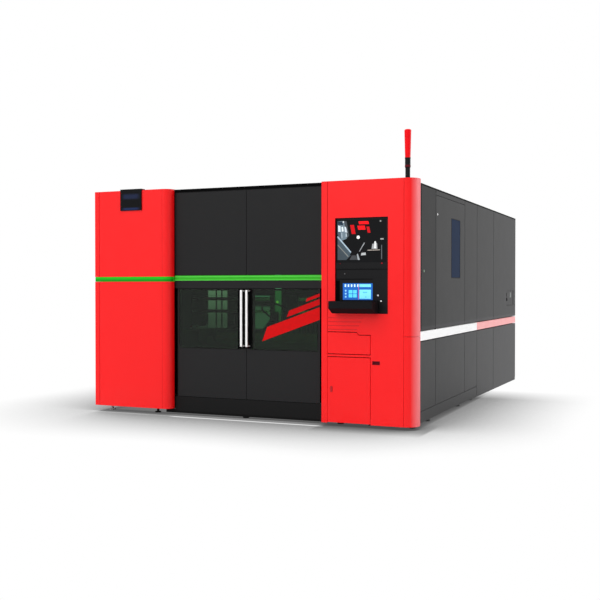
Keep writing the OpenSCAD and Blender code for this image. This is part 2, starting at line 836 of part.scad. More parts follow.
// Black console plate with windows for both screens, the tray mouth and a raised button panel
module console_fascia() {
    x0 = cut_x0 - fascia_lap;
    x1 = cut_x1 + fascia_lap;
    z0 = cut_z0 - fascia_lap;
    z1 = cut_z1 + fascia_lap;
    lip = sheet_t + seat;
    y1 = fascia_y + sheet_t;
    color("black") placed() difference() {
        union() {
            difference() {
                block([x0, lip, z0], [x1, y1, z1]);
                block([x0 + sheet_t, lip - eps, z0 + sheet_t], [x1 - sheet_t, fascia_y, z1 - sheet_t]);
            }
            block([cut_x0 + 4, fascia_y - 4, display_z - 54], [cut_x1 - 4, fascia_y + 1, display_z - 4]);
            block([panel_x, button_face, panel_z0], [panel_x + button_panel_w, fascia_y + 1, panel_z1]);
        }
        block([display_x, 0, display_z], [display_x + display_w, y1 + eps, display_z + display_h]);
        block([touch_x, 0, touch_z], [touch_x + touch_w, y1 + eps, touch_z + touch_h]);
        block([tray_x - 3, lip - eps, tray_z - 3], [tray_x + tray_w + 3, y1 + eps, tray_z + tray_h + 3]);
        for (p = button_spots) translate([p[0], y1 + eps, p[1]]) rotate([90, 0, 0]) cylinder(h = 20, r = button_r + run);
    }
}

// Flat screen: a box with a recessed face
module screen(x, z, w, h, d, lap) {
    y0 = fascia_y + sheet_t + seat;
    block([x - lap, y0, z - lap], [x + w + lap, y0 + d, z + h + lap]);
}

module display() {
    color("black") placed() screen(display_x, display_z, display_w, display_h, display_d, 10);
}

module touch_screen() {
    color("royalblue") placed() screen(touch_x, touch_z, touch_w, touch_h, touch_d, 6);
}

// Small round lights under the display
module indicator_lights() {
    face = fascia_y - 4 - seat;
    color("crimson") placed() for (p = [[cut_x0 + 46, display_z - 10, 5], [cut_x1 - 57, display_z - 10, 6]])
        translate([p[0], face, p[1]]) rotate([90, 0, 0]) cylinder(h = 3, r = p[2]);
    color("silver") placed() translate([cut_x0 + 88, fascia_y - seat, display_z - 100])
        rotate([90, 0, 0]) cylinder(h = 3, r = 5);
}

module port_plate() {
    x0 = port_x0 + seat;
    color("black") placed() difference() {
        block([x0, 0.5, port_z0 + seat], [x0 + port_w - 2 * seat, 24, port_z1 - seat]);
        block([x0 + 6, 0, port_z0 + 7], [x0 + port_w - 7, 8, port_z1 - 7]);
    }
}

// One folded panel of the right side wall
module side_panel(y0, y1, z0, z1) {
    pan([hw - pan_d, y0 + side_seam / 2, z0], [hw, y1 - side_seam / 2, z1], 0, 1);
}

module right_side_panels() {
    up = side_band_z + side_band_h + side_seam;
    low = side_band_z - side_seam;
    low_z = skirt_top + seam;
    front = side_y - side_seam / 2;
    rear = machine_d + side_seam / 2;
    color("dimgray") placed() {
        side_panel(front, seam_y1, up, side_h);
        side_panel(seam_y1, seam_y2, side_h - service_top_strip, side_h);
        side_panel(seam_y2, seam_y3, up, side_h);
        side_panel(seam_y3, seam_y4, up, side_h);
        difference() {
            side_panel(seam_y4, rear, up, side_h);
            block([hw - pan_d - eps, recess_y, recess_z], [hw + eps, recess_y + recess_w, recess_z + recess_h]);
        }
        side_panel(front, seam_y1, low_z, low);
        side_panel(seam_y1, seam_y2, low_z, low);
        side_panel(seam_y2, seam_y3, low_z, low);
        side_panel(seam_y3, seam_y4, skirt_z, low);
        side_panel(seam_y4, rear, skirt_z, low);
        side_panel(front, seam_y3, skirt_z, skirt_top);
    }
}

module side_band_white() {
    color("white") placed()
        pan([hw - pan_d, side_y, side_band_z], [hw, seam_y3 - 1, side_band_z + side_band_h], 0, 1);
}

module side_band_pale() {
    color("lightpink") placed()
        pan([hw - pan_d, seam_y3 + 1, side_band_z], [hw, machine_d, side_band_z + side_band_h], 0, 1);
}

// Recessed box in the side wall with a raised plate and the bore of the rotary switch
module switch_recess() {
    lo = [hw - recess_d, recess_y + seat, recess_z + seat];
    hi = [hw - 1, recess_y + recess_w - seat, recess_z + recess_h - seat];
    color("dimgray") placed() difference() {
        union() {
            difference() {
                block(lo, hi);
                block(lo + [sheet_t, sheet_t, sheet_t], hi + [eps, -sheet_t, -sheet_t]);
            }
            block([lo[0], recess_y + 106, recess_z + 116], [lo[0] + sheet_t + 5, recess_y + 313, recess_z + 164]);
        }
        translate([lo[0] - eps, knob_y, knob_z]) rotate([0, 90, 0]) cylinder(h = 10, r = 6 + run);
    }
}

module left_rear_panels() {
    ys = [side_y - seam / 2, seam_y1, seam_y2, seam_y3, seam_y4, machine_d + seam / 2];
    x1 = hw - pan_d - seam;
    xs = [-x1 - seam / 2, -540, 540, x1 + seam / 2];
    color("dimgray") placed() {
        for (i = [0:4])
            pan([-hw, ys[i] + seam / 2, skirt_z], [pan_d - hw, ys[i + 1] - seam / 2, side_h], 0, -1);
        for (i = [0:2])
            pan([xs[i] + seam / 2, machine_d - pan_d, skirt_z], [xs[i + 1] - seam / 2, machine_d, side_h], 1, 1);
    }
}

module roof_panels() {
    ys = [side_y - seam / 2, seam_y1, seam_y2, seam_y4, machine_d - pan_d - seam / 2];
    x1 = hw - pan_d - seam;
    color("dimgray") placed() difference() {
        for (i = [0:3])
            pan([-x1, ys[i] + seam / 2, side_h - pan_d], [x1, ys[i + 1] - seam / 2, side_h], 2, 1);
        translate([duct_x, duct_y, side_h - 20]) cylinder(h = 40, r = duct_r + 10);
    }
}

// Round spigot with a flange for the extraction hose
module duct_collar() {
    color("silver") placed() translate([duct_x, duct_y, side_h]) rotate_extrude($fn = 96) polygon([
        [duct_r, 0], [duct_r + 45, 0], [duct_r + 45, 4], [duct_r + duct_wall, 4],
        [duct_r + duct_wall, duct_h], [duct_r, duct_h]
    ]);
}

// Pale lining plates on the inner side of the left posts
module inner_liners() {
    x0 = tube_b + seat - frame_x;
    ys = [seam_y1 - 38, seam_y2, seam_y3, seam_y4, frame_y1];
    color("honeydew") placed() difference() {
        for (i = [0:3]) block([x0, ys[i] + 2, post_z0 + 3], [x0 + sheet_t, ys[i + 1] - 2, post_z1 - 5]);
        for (y = tie_ys)
            block([x0 - eps, y - tube_b / 2 - 2, tie_z - 2], [x0 + sheet_t + eps, y + tube_b / 2 + 2, tie_z + tube_b + 2]);
    }
}

// Turned lamp foot: flange, tube and socket
module lamp_base() {
    color("black") placed() translate([lamp_x, lamp_y, console_h]) rotate_extrude() polygon([
        [0, 0], [lamp_r + 12, 0], [lamp_r + 12, 5], [lamp_r, 7], [lamp_r, 90], [lamp_r + 3, 94],
        [lamp_r + 3, lamp_base_h - 8], [lamp_r + 5, lamp_base_h - 5], [lamp_r + 5, lamp_base_h], [0, lamp_base_h]
    ]);
}

// Red lens, wider towards its rounded top
module lamp_lens() {
    dome = 12;
    color("red") placed() translate([lamp_x, lamp_y, console_h + lamp_base_h]) rotate_extrude() union() {
        polygon([[0, 0], [lamp_r + 3, 0], [lens_r, lamp_lens_h - dome], [0, lamp_lens_h - dome]]);
        intersection() {
            translate([lens_r - dome, lamp_lens_h - dome]) circle(dome);
            square([lens_r, lamp_lens_h]);
        }
        translate([0, lamp_lens_h - dome - eps]) square([lens_r - dome, dome + eps]);
    }
}

// Route of the hose loop, relative to the carriage plate's front face
hose_points = [
    [-135, -20, hose_z], [-135, -20, 912], [-135, -20, 925], [-160, -44, 960], [-190, -92, 1000], [-172, -136, 1042],
    [-110, -156, 1070], [-50, -158, 1076], [10, -150, 1062], [60, -124, 1032], [98, -80, 996], [114, -34, 955],
    [118, -20, 925], [118, -20, 912], [118, -20, hose_z]
];

// Point of a smooth curve through four points
function smooth(a, b, c, d, t) = 0.5 * (2 * b + (c - a) * t + (2 * a - 5 * b + 4 * c - d) * t * t
    + (3 * b - a - 3 * c + d) * t * t * t);
function hose_path(p) = let (n = len(p) - 1) concat(
    [for (i = [0:n - 1], t = [0:0.2:0.8]) smooth(p[max(i - 1, 0)], p[i], p[i + 1], p[min(i + 2, n)], t)], [p[n]]);

// Tube with eight sides along a path whose course stays across the Y axis
module swept_tube(path, r) {
    n = len(path);
    sides = 8;
    points = [for (i = [0:n - 1])
        let (d = path[min(i + 1, n - 1)] - path[max(i - 1, 0)], t = d / norm(d),
             u = cross(t, [0, 1, 0]), a = u / norm(u), b = cross(t, a))
        for (k = [0:sides - 1]) path[i] + r * (cos(360 * k / sides) * a + sin(360 * k / sides) * b)];
    walls = [for (i = [0:n - 2], k = [0:sides - 1])
        let (m = (k + 1) % sides, p = i * sides) [p + k, p + sides + k, p + sides + m, p + m]];
    ends = [[for (k = [0:sides - 1]) k], [for (k = [sides - 1:-1:0]) (n - 1) * sides + k]];
    polyhedron(points, concat(walls, ends), convexity = 6);
}

module gas_hose() {
    color("black") placed() translate([head_x, plate_y0, 0])
        swept_tube(hose_path(hose_points), hose_r);
}

// Angle rails that carry the keyboard tray
module drawer_runners() {
    z0 = shelf_high + sheet_t + seat;
    color("silver") placed() for (x = [tray_x - seat - 9, tray_x + tray_w + seat])
        block([x, fold_d + seat, z0], [x + 9, fold_d + runner_l, tray_z + 50]);
}

// Pivot pin with a washer disc; up is the side that the pin points to
module pivot_pin(x, y, z, r, up, open = seam) {
    depth = 25;
    gap = open - 2 * seat;
    translate([x, y, z + up * seat]) mirror([0, 0, up < 0 ? 1 : 0]) {
        cylinder(h = gap, r = r + 3);
        cylinder(h = gap + depth, r = r);
    }
}

module hinge_pins() {
    y = set_back + pivot_in;
    sy = seam_y1 + side_seam / 2 + service_in;
    dx = door_edge_x - small_in;
    color("silver") placed() {
        for (x = [lx + hinge_gap + pivot_in, door_x1 - hinge_gap - pivot_in]) {
            pivot_pin(x, y, leaf_z0 - seam, pin_r, 1);
            pivot_pin(x, y, leaf_z1 + seam, pin_r, -1);
        }
        pivot_pin(hw - service_in, sy, service_z0 - side_seam, service_pin_r, 1, side_seam);
        pivot_pin(hw - service_in, sy, service_z1 + seam, service_pin_r, -1);
        pivot_pin(dx, small_in, band_bar_z1, small_pin_r, 1, console_seam);
        pivot_pin(dx, small_in, compartment_z1 - compartment_step + console_seam, small_pin_r, -1, console_seam);
        pivot_pin(dx, small_in, band_bar_z0, small_pin_r, -1, console_seam);
        pivot_pin(dx, small_in, console_z, small_pin_r, 1, console_seam);
        block([dx - 8, 1, console_z - 3], [door_edge_x + console_seam - seat, fold_d + 20, console_z + seat]);
    }
}

// Door leaf as a folded sheet with pivot blocks; x0 is its left edge, hinge the hinge side
module leaf(x0, hinge) {
    x1 = x0 + leaf_w;
    y1 = set_back + pan_d;
    left = hinge < 0 ? hinge_stile : meeting_stile;
    right = hinge < 0 ? meeting_stile : hinge_stile;
    px = hinge < 0 ? x0 + pivot_in : x1 - pivot_in;
    block_w = 2 * pivot_in + 4;
    z1 = leaf_z1 - pane_top;
    difference() {
        union() {
            pan([x0, set_back, leaf_z0], [x1, y1, leaf_z1], 1, -1);
            block([x0 + 1, set_back + 1, pane_z0 - 24], [x1 - 1, y1 - 4, leaf_z1 - 1]);
            for (z = [leaf_z0, leaf_z1 - 60])
                block([hinge < 0 ? x0 : x1 - block_w, set_back, z], [hinge < 0 ? x0 + block_w : x1, set_back + block_w, z + 60]);
        }
        block([x0 + left, set_back - eps, pane_z0], [x1 - right, set_back + pane_t + rebate, z1]);
        block([x0 + left + ledge, set_back, pane_z0 + ledge], [x1 - right - ledge, y1 + eps, z1 - ledge]);
        for (z = [leaf_z0 - eps, leaf_z1 - 27]) translate([px, set_back + pivot_in, z]) cylinder(h = 28, r = pin_r + run);
    }
}

// Pane that lies flush in the leaf's rebate
module pane(x0, hinge) {
    left = hinge < 0 ? hinge_stile : meeting_stile;
    right = hinge < 0 ? meeting_stile : hinge_stile;
    y1 = set_back + pane_t + rebate - seat;
    block([x0 + left + seat, y1 - pane_t, pane_z0 + seat],
        [x0 + leaf_w - right - seat, y1, leaf_z1 - pane_top - seat]);
}

// Flat bar bent to a long handle with rounded bends
module handle(x0) {
    bend = handle_bend;
    z1 = handle_z + handle_h;
    out = set_back - handle_out;
    inner = out + handle_t;
    bar_x(x0, x0 + handle_w) difference() {
        union() {
            translate([out, handle_z + bend]) square([handle_out - seat, handle_h - 2 * bend]);
            translate([out + bend, handle_z]) square([handle_out - seat - bend, handle_h]);
            for (z = [handle_z + bend, z1 - bend]) translate([out + bend, z]) circle(bend);
        }
        translate([inner, handle_z + handle_t]) square([handle_out, handle_h - 2 * handle_t]);
    }
}

left_leaf_x = lx + hinge_gap;
right_leaf_x = seam_x + seam / 2;

module door_left_leaf() {
    color("darkslategray") placed() leaf(left_leaf_x, -1);
}

module door_left_pane() {
    color([0.1, 0.3, 0.15, 0.6]) placed() pane(left_leaf_x, -1);
}

module door_left_handle() {
    color("whitesmoke") placed() handle(seam_x - handle_x - handle_w);
}

module door_right_leaf() {
    color("darkslategray") placed() leaf(right_leaf_x, 1);
}

module door_right_pane() {
    color([0.1, 0.3, 0.15, 0.6]) placed() pane(right_leaf_x, 1);
}

module door_right_handle() {
    color("whitesmoke") placed() handle(seam_x + handle_x);
}

// Side door above the band: folded sheet, window frame and pivot blocks
module service_door() {
    y0 = seam_y1 + side_seam / 2;
    y1 = seam_y2 - side_seam / 2;
    x0 = hw - service_d;
    b = 2 * service_in + 6;
    color("dimgray") placed() difference() {
        union() {
            pan([x0, y0, service_z0], [hw, y1, service_z1], 0, 1);
            block([x0 + 6, window_y - 40, window_z - 40], [hw - 1, window_y + window_w + 40, window_z + window_h + 40]);
            for (z = [service_z0, service_z1 - 60]) block([hw - b, y0, z], [hw, y0 + b, z + 60]);
        }
        block([hw - pane_t - rebate, window_y, window_z], [hw + eps, window_y + window_w, window_z + window_h]);
        block([x0 - eps, window_y + ledge, window_z + ledge],
            [hw, window_y + window_w - ledge, window_z + window_h - ledge]);
        for (z = [service_z0 - eps, service_z1 - 27])
            translate([hw - service_in, y0 + service_in, z]) cylinder(h = 28, r = service_pin_r + run);
    }
}

module service_window() {
    x0 = hw - pane_t - rebate + seat;
    color([0.1, 0.15, 0.35, 0.7]) placed() block([x0, window_y + seat, window_z + seat],
        [x0 + pane_t, window_y + window_w - seat, window_z + window_h - seat]);
}

module small_pivot_bores(z0, z1) {
    for (z = [z0 - eps, z1 - 27])
        translate([door_edge_x - small_in, small_in, z]) cylinder(h = 28, r = small_pin_r + run);
}

// Cupboard door with solid pivot corners and the bore of its latch
module cupboard_door() {
    z0 = console_z + console_seam;
    b = 2 * small_in + 4;
    color("red") placed() difference() {
        union() {
            pan([sheet_x0, 0, z0], [door_edge_x, small_door_t, cupboard_z1], 1, -1);
            for (z = [z0, cupboard_z1 - 50]) block([door_edge_x - b, 0, z], [door_edge_x, b, z + 50]);
            translate([lock_x, small_door_t, lock_z]) rotate([90, 0, 0]) cylinder(h = small_door_t - 1, r = lock_r + 5);
        }
        small_pivot_bores(z0, cupboard_z1);
        translate([lock_x, small_door_t + eps, lock_z]) rotate([90, 0, 0]) cylinder(h = 30, r = lock_r + run);
    }
}

// Quarter-turn latch: grip with round ends, shaft and cam tongue behind the door
module cupboard_lock() {
    grip = 54;
    grip_r = 10;
    color("firebrick") placed() translate([lock_x, 0, lock_z]) {
        rotate([90, 0, 0]) {
            translate([0, 0, seat]) linear_extrude(4) {
                translate([-grip_r, grip_r - grip / 2]) square([2 * grip_r, grip - 2 * grip_r]);
                for (s = [-1, 1]) translate([0, s * (grip / 2 - grip_r)]) circle(grip_r);
            }
            translate([0, 0, -small_door_t - 8]) cylinder(h = small_door_t + 9, r = lock_r);
        }
        block([-9, small_door_t + 4, -9], [9, small_door_t + 7, 50]);
    }
}

// Compartment door with a step in its upper edge
module compartment_door() {
    b = 2 * small_in + 4;
    z1 = compartment_z1 - compartment_step;
    color("red") placed() difference() {
        union() {
            difference() {
                slab_y(0, small_door_t) polygon(compartment_outline(0));
                slab_y(sheet_t, small_door_t + eps) polygon(compartment_outline(-sheet_t));
            }
            for (z = [compartment_z0, z1 - 50]) block([door_edge_x - b, 0, z], [door_edge_x, b, z + 50]);
        }
        small_pivot_bores(compartment_z0, z1);
    }
}

// Pull-out tray: open box with a sloping underside at its front
module keyboard_tray() {
    y0 = -tray_out;
    y1 = tray_l - tray_out;
    z1 = tray_z + tray_h;
    t = sheet_t;
    color("black") placed() difference() {
        bar_x(tray_x, tray_x + tray_w)
            polygon([[y0, z1], [y0, z1 - tray_lip], [y0 + tray_slope, tray_z], [y1, tray_z], [y1, z1]]);
        bar_x(tray_x + t, tray_x + tray_w - t) polygon([
            [y0 + t, z1 + eps], [y0 + t, z1 - tray_lip + 2], [y0 + tray_slope + 1, tray_z + t],
            [y1 - t, tray_z + t], [y1 - t, z1 + eps]
        ]);
    }
}

// Gantry beam, its two end trucks and the bearing blocks on the rails
module gantry_beam() {
    block_l = 100;
    block_w = rail_w + 55;
    color("lightgray") placed() {
        tube([-beam_x, beam_y0, beam_z], [beam_x, beam_y0 + beam_d, beam_z + beam_h], 0, beam_wall);
        for (s = [-1, 1]) {
            block([s * rail_x - truck_w / 2, gantry_y - truck_l / 2, block_z1 + seat],
                [s * rail_x + truck_w / 2, gantry_y + truck_l / 2, beam_z - seat]);
            for (y = [gantry_y - truck_l / 2, gantry_y + truck_l / 2 - block_l]) difference() {
                block([s * rail_x - block_w / 2, y, bed_z + rail_h - 20], [s * rail_x + block_w / 2, y + block_l, block_z1]);
                block([s * rail_x - rail_w / 2 - seat, y - eps, bed_z], [s * rail_x + rail_w / 2 + seat, y + block_l + eps, bed_z + rail_h + seat]);
            }
        }
    }
}

// Two rails on the beam's front face
module gantry_rails() {
    color("silver") placed() for (z = [beam_z + 35, beam_z + beam_h - 35])
        block([30 - beam_x, beam_y0 - x_rail_d, z - 16], [beam_x - 30, beam_y0, z + 16]);
}

// Carriage: plate, bearing blocks, Z housing and the two hose glands
module carriage() {
    color("gainsboro") placed() translate([head_x, 0, 0]) {
        block([-plate_half, plate_y0, plate_z0], [plate_half, plate_y1, beam_z + beam_h + 10]);
        for (x = [10 - plate_half, plate_half - 10 - slider_w], z = [beam_z + 35, beam_z + beam_h - 35]) difference() {
            block([x, plate_y1 + seat, z - slider_h / 2], [x + slider_w, beam_y0 - 2, z + slider_h / 2]);
            block([x - eps, plate_y1 + 4, z - 16 - seat], [x + slider_w + eps, beam_y0, z + 16 + seat]);
        }
        difference() {
            block([-housing_w / 2, housing_y0, housing_z], [housing_w / 2, housing_y1, housing_z + housing_h]);
            block([housing_wall - housing_w / 2, housing_y0 + housing_wall, housing_z - eps],
                [housing_w / 2 - housing_wall, housing_y1 - housing_wall, housing_z + housing_h - 10]);
        }
        for (x = [hose_points[0][0], hose_points[len(hose_points) - 1][0]]) {
            translate([x, plate_y0 - 20, gland_z]) cylinder(h = gland_h, r = hose_r + 5);
            block([x - 10, plate_y0 - 12, gland_z], [x + 10, plate_y0 - seat, gland_z + gland_h - 4]);
        }
    }
}

// Ram, cutting head body, cone and nozzle on one axis
module cutting_head() {
    ram_w = housing_w / 2 - housing_wall - ram_clear;
    ram_z = housing_z + 12;
    wall = housing_wall + ram_clear;
    color("silver") placed() translate([head_x, 0, 0]) {
        block([-ram_w, housing_y0 + wall, ram_z], [ram_w, housing_y1 - wall, ram_z + 320]);
        translate([0, head_y, 0]) {
            translate([0, 0, nozzle_z + 60]) cylinder(h = ram_z - nozzle_z - 60, r = head_r);
            translate([0, 0, nozzle_z + 24]) cylinder(h = 36, r1 = 13, r2 = head_r, $fn = 64);
            translate([0, 0, nozzle_z]) cylinder(h = 24, r1 = 5, r2 = 11, $fn = 64);
        }
    }
}

// Push button with a collar behind the fascia
module button(p) {
    y1 = fascia_y + sheet_t + seat + 4;
    placed() translate([p[0], 0, p[1]]) rotate([90, 0, 0]) {
        translate([0, 0, -y1]) cylinder(h = y1 + button_out - button_face, r = button_r);
        translate([0, 0, -y1]) cylinder(h = 3, r = button_r + 3);
    }
}

module button_upper() {
    color("white") button(button_spots[0]);
}

module button_lower() {
    color("white") button(button_spots[1]);
}

// Rotary knob with a grip bar on a shaft through the recess plate
module switch_knob() {
    x0 = hw - recess_d + sheet_t + seat;
    knob_base = 5;
    color("black") placed() translate([x0, knob_y, knob_z]) rotate([0, 90, 0]) {
        cylinder(h = knob_base, r = knob_r);
        translate([0, 0, -8]) cylinder(h = 9, r = 6);
        translate([-knob_r + 2, -4, knob_base - 1]) cube([2 * knob_r - 4, 8, recess_d - sheet_t - knob_base - 1]);
    }
}

feet();
frame_long();
frame_cross();
frame_posts();
bed_beams();
bed_supports();
guide_rails();
slat_frame();
slats();
slag_chutes();
left_cover_upper();
left_cover_lower();
edge_trims();
green_bands();
nameplate();
upper_panels();
centre_cap();
header_rail();
kick_plate();
console_front();
console_corners();
cabinet_walls();
cabinet_tops();
console_fascia();
display();
touch_screen();
indicator_lights();
port_plate();
right_side_panels();
side_band_white();
side_band_pale();
switch_recess();
left_rear_panels();
roof_panels();
duct_collar();
inner_liners();
lamp_base();
lamp_lens();
gas_hose();
drawer_runners();
hinge_pins();
door_left_leaf();
door_left_pane();
door_left_handle();
door_right_leaf();
door_right_pane();
door_right_handle();
service_door();
service_window();
cupboard_door();
cupboard_lock();
compartment_door();
keyboard_tray();
gantry_beam();
gantry_rails();
carriage();
cutting_head();
button_upper();
button_lower();
switch_knob();
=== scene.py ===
# %% [markdown]
# # An enclosed laser cutting machine
# The sheet metal, the bed, the gantry and the doors come from the CAD model.
# This lesson gives them their finishes, and adds the small things that a maker
# would fit last: seals, prints, screens, lights and screws.
# Lengths are in metres, +X to the console, +Y into the depth, +Z up.

# %% Load the frame
import json
import math

import bmesh
import bpy
import numpy as np
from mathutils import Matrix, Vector


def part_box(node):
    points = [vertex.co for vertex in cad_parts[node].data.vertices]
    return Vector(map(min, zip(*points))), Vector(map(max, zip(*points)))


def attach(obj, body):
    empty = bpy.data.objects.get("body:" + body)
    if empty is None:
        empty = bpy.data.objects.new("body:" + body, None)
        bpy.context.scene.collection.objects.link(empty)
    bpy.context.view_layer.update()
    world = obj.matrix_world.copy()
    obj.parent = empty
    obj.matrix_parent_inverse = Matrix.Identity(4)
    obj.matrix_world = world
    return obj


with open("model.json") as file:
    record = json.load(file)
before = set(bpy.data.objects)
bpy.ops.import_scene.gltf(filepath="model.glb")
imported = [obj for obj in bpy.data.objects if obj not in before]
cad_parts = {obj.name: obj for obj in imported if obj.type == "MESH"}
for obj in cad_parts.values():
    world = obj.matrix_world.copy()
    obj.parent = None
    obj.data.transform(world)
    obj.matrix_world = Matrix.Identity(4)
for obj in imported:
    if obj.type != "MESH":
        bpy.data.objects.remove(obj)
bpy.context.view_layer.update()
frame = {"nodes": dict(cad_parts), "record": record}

# %% [markdown]
# ## Where things are
# The part's source counts depths from the red fronts, in millimetres. Two helpers
# go from such lengths into the frame and back, so that a seal or a print is placed
# by the same numbers that the sheet metal was made with.

# %% Lengths of the sheet metal
FRONT_Y = -2265.0  # the red fronts, in the frame
FRONT_M = FRONT_Y / 1000  # the same in metres, for coordinates that a finish reads
PANEL_Y = 95.0  # the dark panels and the doors, behind the red fronts
SIDE_X = 1655.0  # the right side wall


def at(x, y, z):
    """Millimetres from the machine's middle, its red fronts and the floor, as metres in the frame."""
    x, y, z = (np.asarray(values, float) for values in (x, y, z))
    return np.stack(np.broadcast_arrays(x, y + FRONT_Y, z), -1) / 1000


def in_source(box):
    """A box in metres in the frame, as millimetres of the source: its low and its high corner."""
    return np.asarray(box, float) * 1000 - (0, FRONT_Y, 0)


print("red fronts at y =", at(0, 0, 0)[1])

# %% [markdown]
# ## Camera
# The photograph was taken a little to the right of the machine and just above half
# its height. A long lens keeps the uprights nearly parallel. There are no free
# cords on this machine, so nothing has to be coiled outside the view.

# %% Camera
CAMERA_PLACE = (3.844, -9.826, 1.241)
CAMERA_TURN, CAMERA_HEIGHT = 23.388, 0.822


def towards(turn, height):
    """From the machine to a spot at an azimuth and a height, in degrees; azimuth 0 is in front."""
    a, e = math.radians(turn), math.radians(height)
    return Vector((math.sin(a) * math.cos(e), -math.cos(a) * math.cos(e), math.sin(e)))


camera = bpy.data.objects.new("camera", bpy.data.cameras.new("camera"))
bpy.context.scene.collection.objects.link(camera)
bpy.context.scene.camera = camera
camera.data.sensor_width = 36
camera.data.lens = 54.78
camera.data.clip_end = 300
camera.location = CAMERA_PLACE
camera.rotation_mode = "QUATERNION"
camera.rotation_quaternion = (-towards(CAMERA_TURN, CAMERA_HEIGHT)).to_track_quat("-Z", "Y")
print("camera at", tuple(camera.location))

# %% [markdown]
# ## Nodes in a few words
# Every finish below is a small web of shader nodes. These helpers keep the web
# readable: each returns a socket that the next one takes.

# %% Helpers for shader nodes


def shader_of(made):
    return made.node_tree.nodes["Principled BSDF"]


def material(name, colour, roughness, metallic=0.0, specular=0.3):
    """An empty finish: a Principled shader with its constants set on its own sockets."""
    made = bpy.data.materials.new(name)
    made.use_nodes = True
    made.diffuse_color = (*colour, 1)
    shader = shader_of(made)
    shader.inputs["Base Color"].default_value = (*colour, 1)
    shader.inputs["Roughness"].default_value = roughness
    shader.inputs["Metallic"].default_value = metallic
    shader.inputs["Specular IOR Level"].default_value = specular
    return made


def feed(made, socket, value):
    """Joins a value to a socket of the finish's own shader."""
    made.node_tree.links.new(value, shader_of(made).inputs[socket])


def place(tree, stretch=(1, 1, 1)):
    """The point on the object, with each axis stretched for grain that runs one way."""
    coords = tree.nodes.new("ShaderNodeTexCoord")
    mapping = tree.nodes.new("ShaderNodeMapping")
    mapping.inputs["Scale"].default_value = stretch
    tree.links.new(coords.outputs["Object"], mapping.inputs["Vector"])
    return mapping.outputs["Vector"]


def noise(tree, scale, detail=2.0, stretch=(1, 1, 1), roughness=0.5):
    texture = tree.nodes.new("ShaderNodeTexNoise")
    texture.inputs["Scale"].default_value = scale
    texture.inputs["Detail"].default_value = detail
    texture.inputs["Roughness"].default_value = roughness
    tree.links.new(place(tree, stretch), texture.inputs["Vector"])
    return texture.outputs["Fac"]


def remap(tree, value, low, high, start=0.3, end=0.7):
    """A value between start and end, carried over to the range low to high."""
    ranged = tree.nodes.new("ShaderNodeMapRange")
    for name, number in (("From Min", start), ("From Max", end), ("To Min", low), ("To Max", high)):
        ranged.inputs[name].default_value = number
    tree.links.new(value, ranged.inputs["Value"])
    return ranged.outputs["Result"]


def mixed(tree, factor, first, second):
    """A colour between two; each may be a colour or a socket."""
    mix = tree.nodes.new("ShaderNodeMix")
    mix.data_type = "RGBA"
    tree.links.new(factor, mix.inputs["Factor"])
    for socket, value in ((mix.inputs[6], first), (mix.inputs[7], second)):
        if isinstance(value, bpy.types.NodeSocket):
            tree.links.new(value, socket)
        else:
            socket.default_value = (*value, 1)
    return mix.outputs[2]


def bump(made, height, distance, strength):
    node = made.node_tree.nodes.new("ShaderNodeBump")
    node.inputs["Distance"].default_value = distance
    node.inputs["Strength"].default_value = strength
    made.node_tree.links.new(height, node.inputs["Height"])
    feed(made, "Normal", node.outputs["Normal"])


def along(tree, axis):
    """The object's X, Y or Z, in metres."""
    coords = tree.nodes.new("ShaderNodeTexCoord")
    parts = tree.nodes.new("ShaderNodeSeparateXYZ")
    tree.links.new(coords.outputs["Object"], parts.inputs["Vector"])
    return parts.outputs[axis]


def fading(tree, axis, first, last, low, high):
    """A value that goes from first to last while a coordinate goes from low to high, in metres."""
    return remap(tree, along(tree, axis), first, last, low, high)


def height_above_floor(tree, low, high):
    """0 at height low and 1 at height high, in metres."""
    return fading(tree, "Z", 0, 1, low, high)


def reckoned(tree, operation, first, second=0.0):
    """Two values, or a value and a number, put through one Math node."""
    made = tree.nodes.new("ShaderNodeMath")
    made.operation = operation
    for socket, value in zip(made.inputs, (first, second)):
        if isinstance(value, bpy.types.NodeSocket):
            tree.links.new(value, socket)
        else:
            socket.default_value = value
    return made.outputs[0]


def product(tree, first, second):
    return reckoned(tree, "MULTIPLY", first, second)


def between(tree, axis, low, high, soft):
    """1 where the coordinate lies from low to high, in metres, and 0 from soft beyond them."""
    value = along(tree, axis)
    rising = remap(tree, value, 0, 1, low - soft, low)
    return product(tree, rising, remap(tree, value, 1, 0, high, high + soft))


def recoloured(made, factor, colour):
    """Lays another colour over what a finish already has, where the factor is 1."""
    below = shader_of(made).inputs["Base Color"].links[0].from_socket
    feed(made, "Base Color", mixed(made.node_tree, factor, below, colour))
    return made


def lit(made, factor, glow):
    """Gives a finish some light of its own where the factor is 1."""
    feed(made, "Emission Color", mixed(made.node_tree, factor, (0, 0, 0), glow))
    shader_of(made).inputs["Emission Strength"].default_value = 1.0
    return made


print("helpers ready")

# %% [markdown]
# ## Powder coat
# The covers are powder coated steel. The powder melts to a film with a fine orange
# peel, and on a wide panel its tone drifts by a few percent. Dust settles near the
# floor. A noise as wide as a panel drifts the colour, one of about two millimetres
# makes the peel, and the height above the floor adds the dust.

# %% Powder coat


def scaled(colour, factor):
    return tuple(min(1.0, channel * factor) for channel in colour)


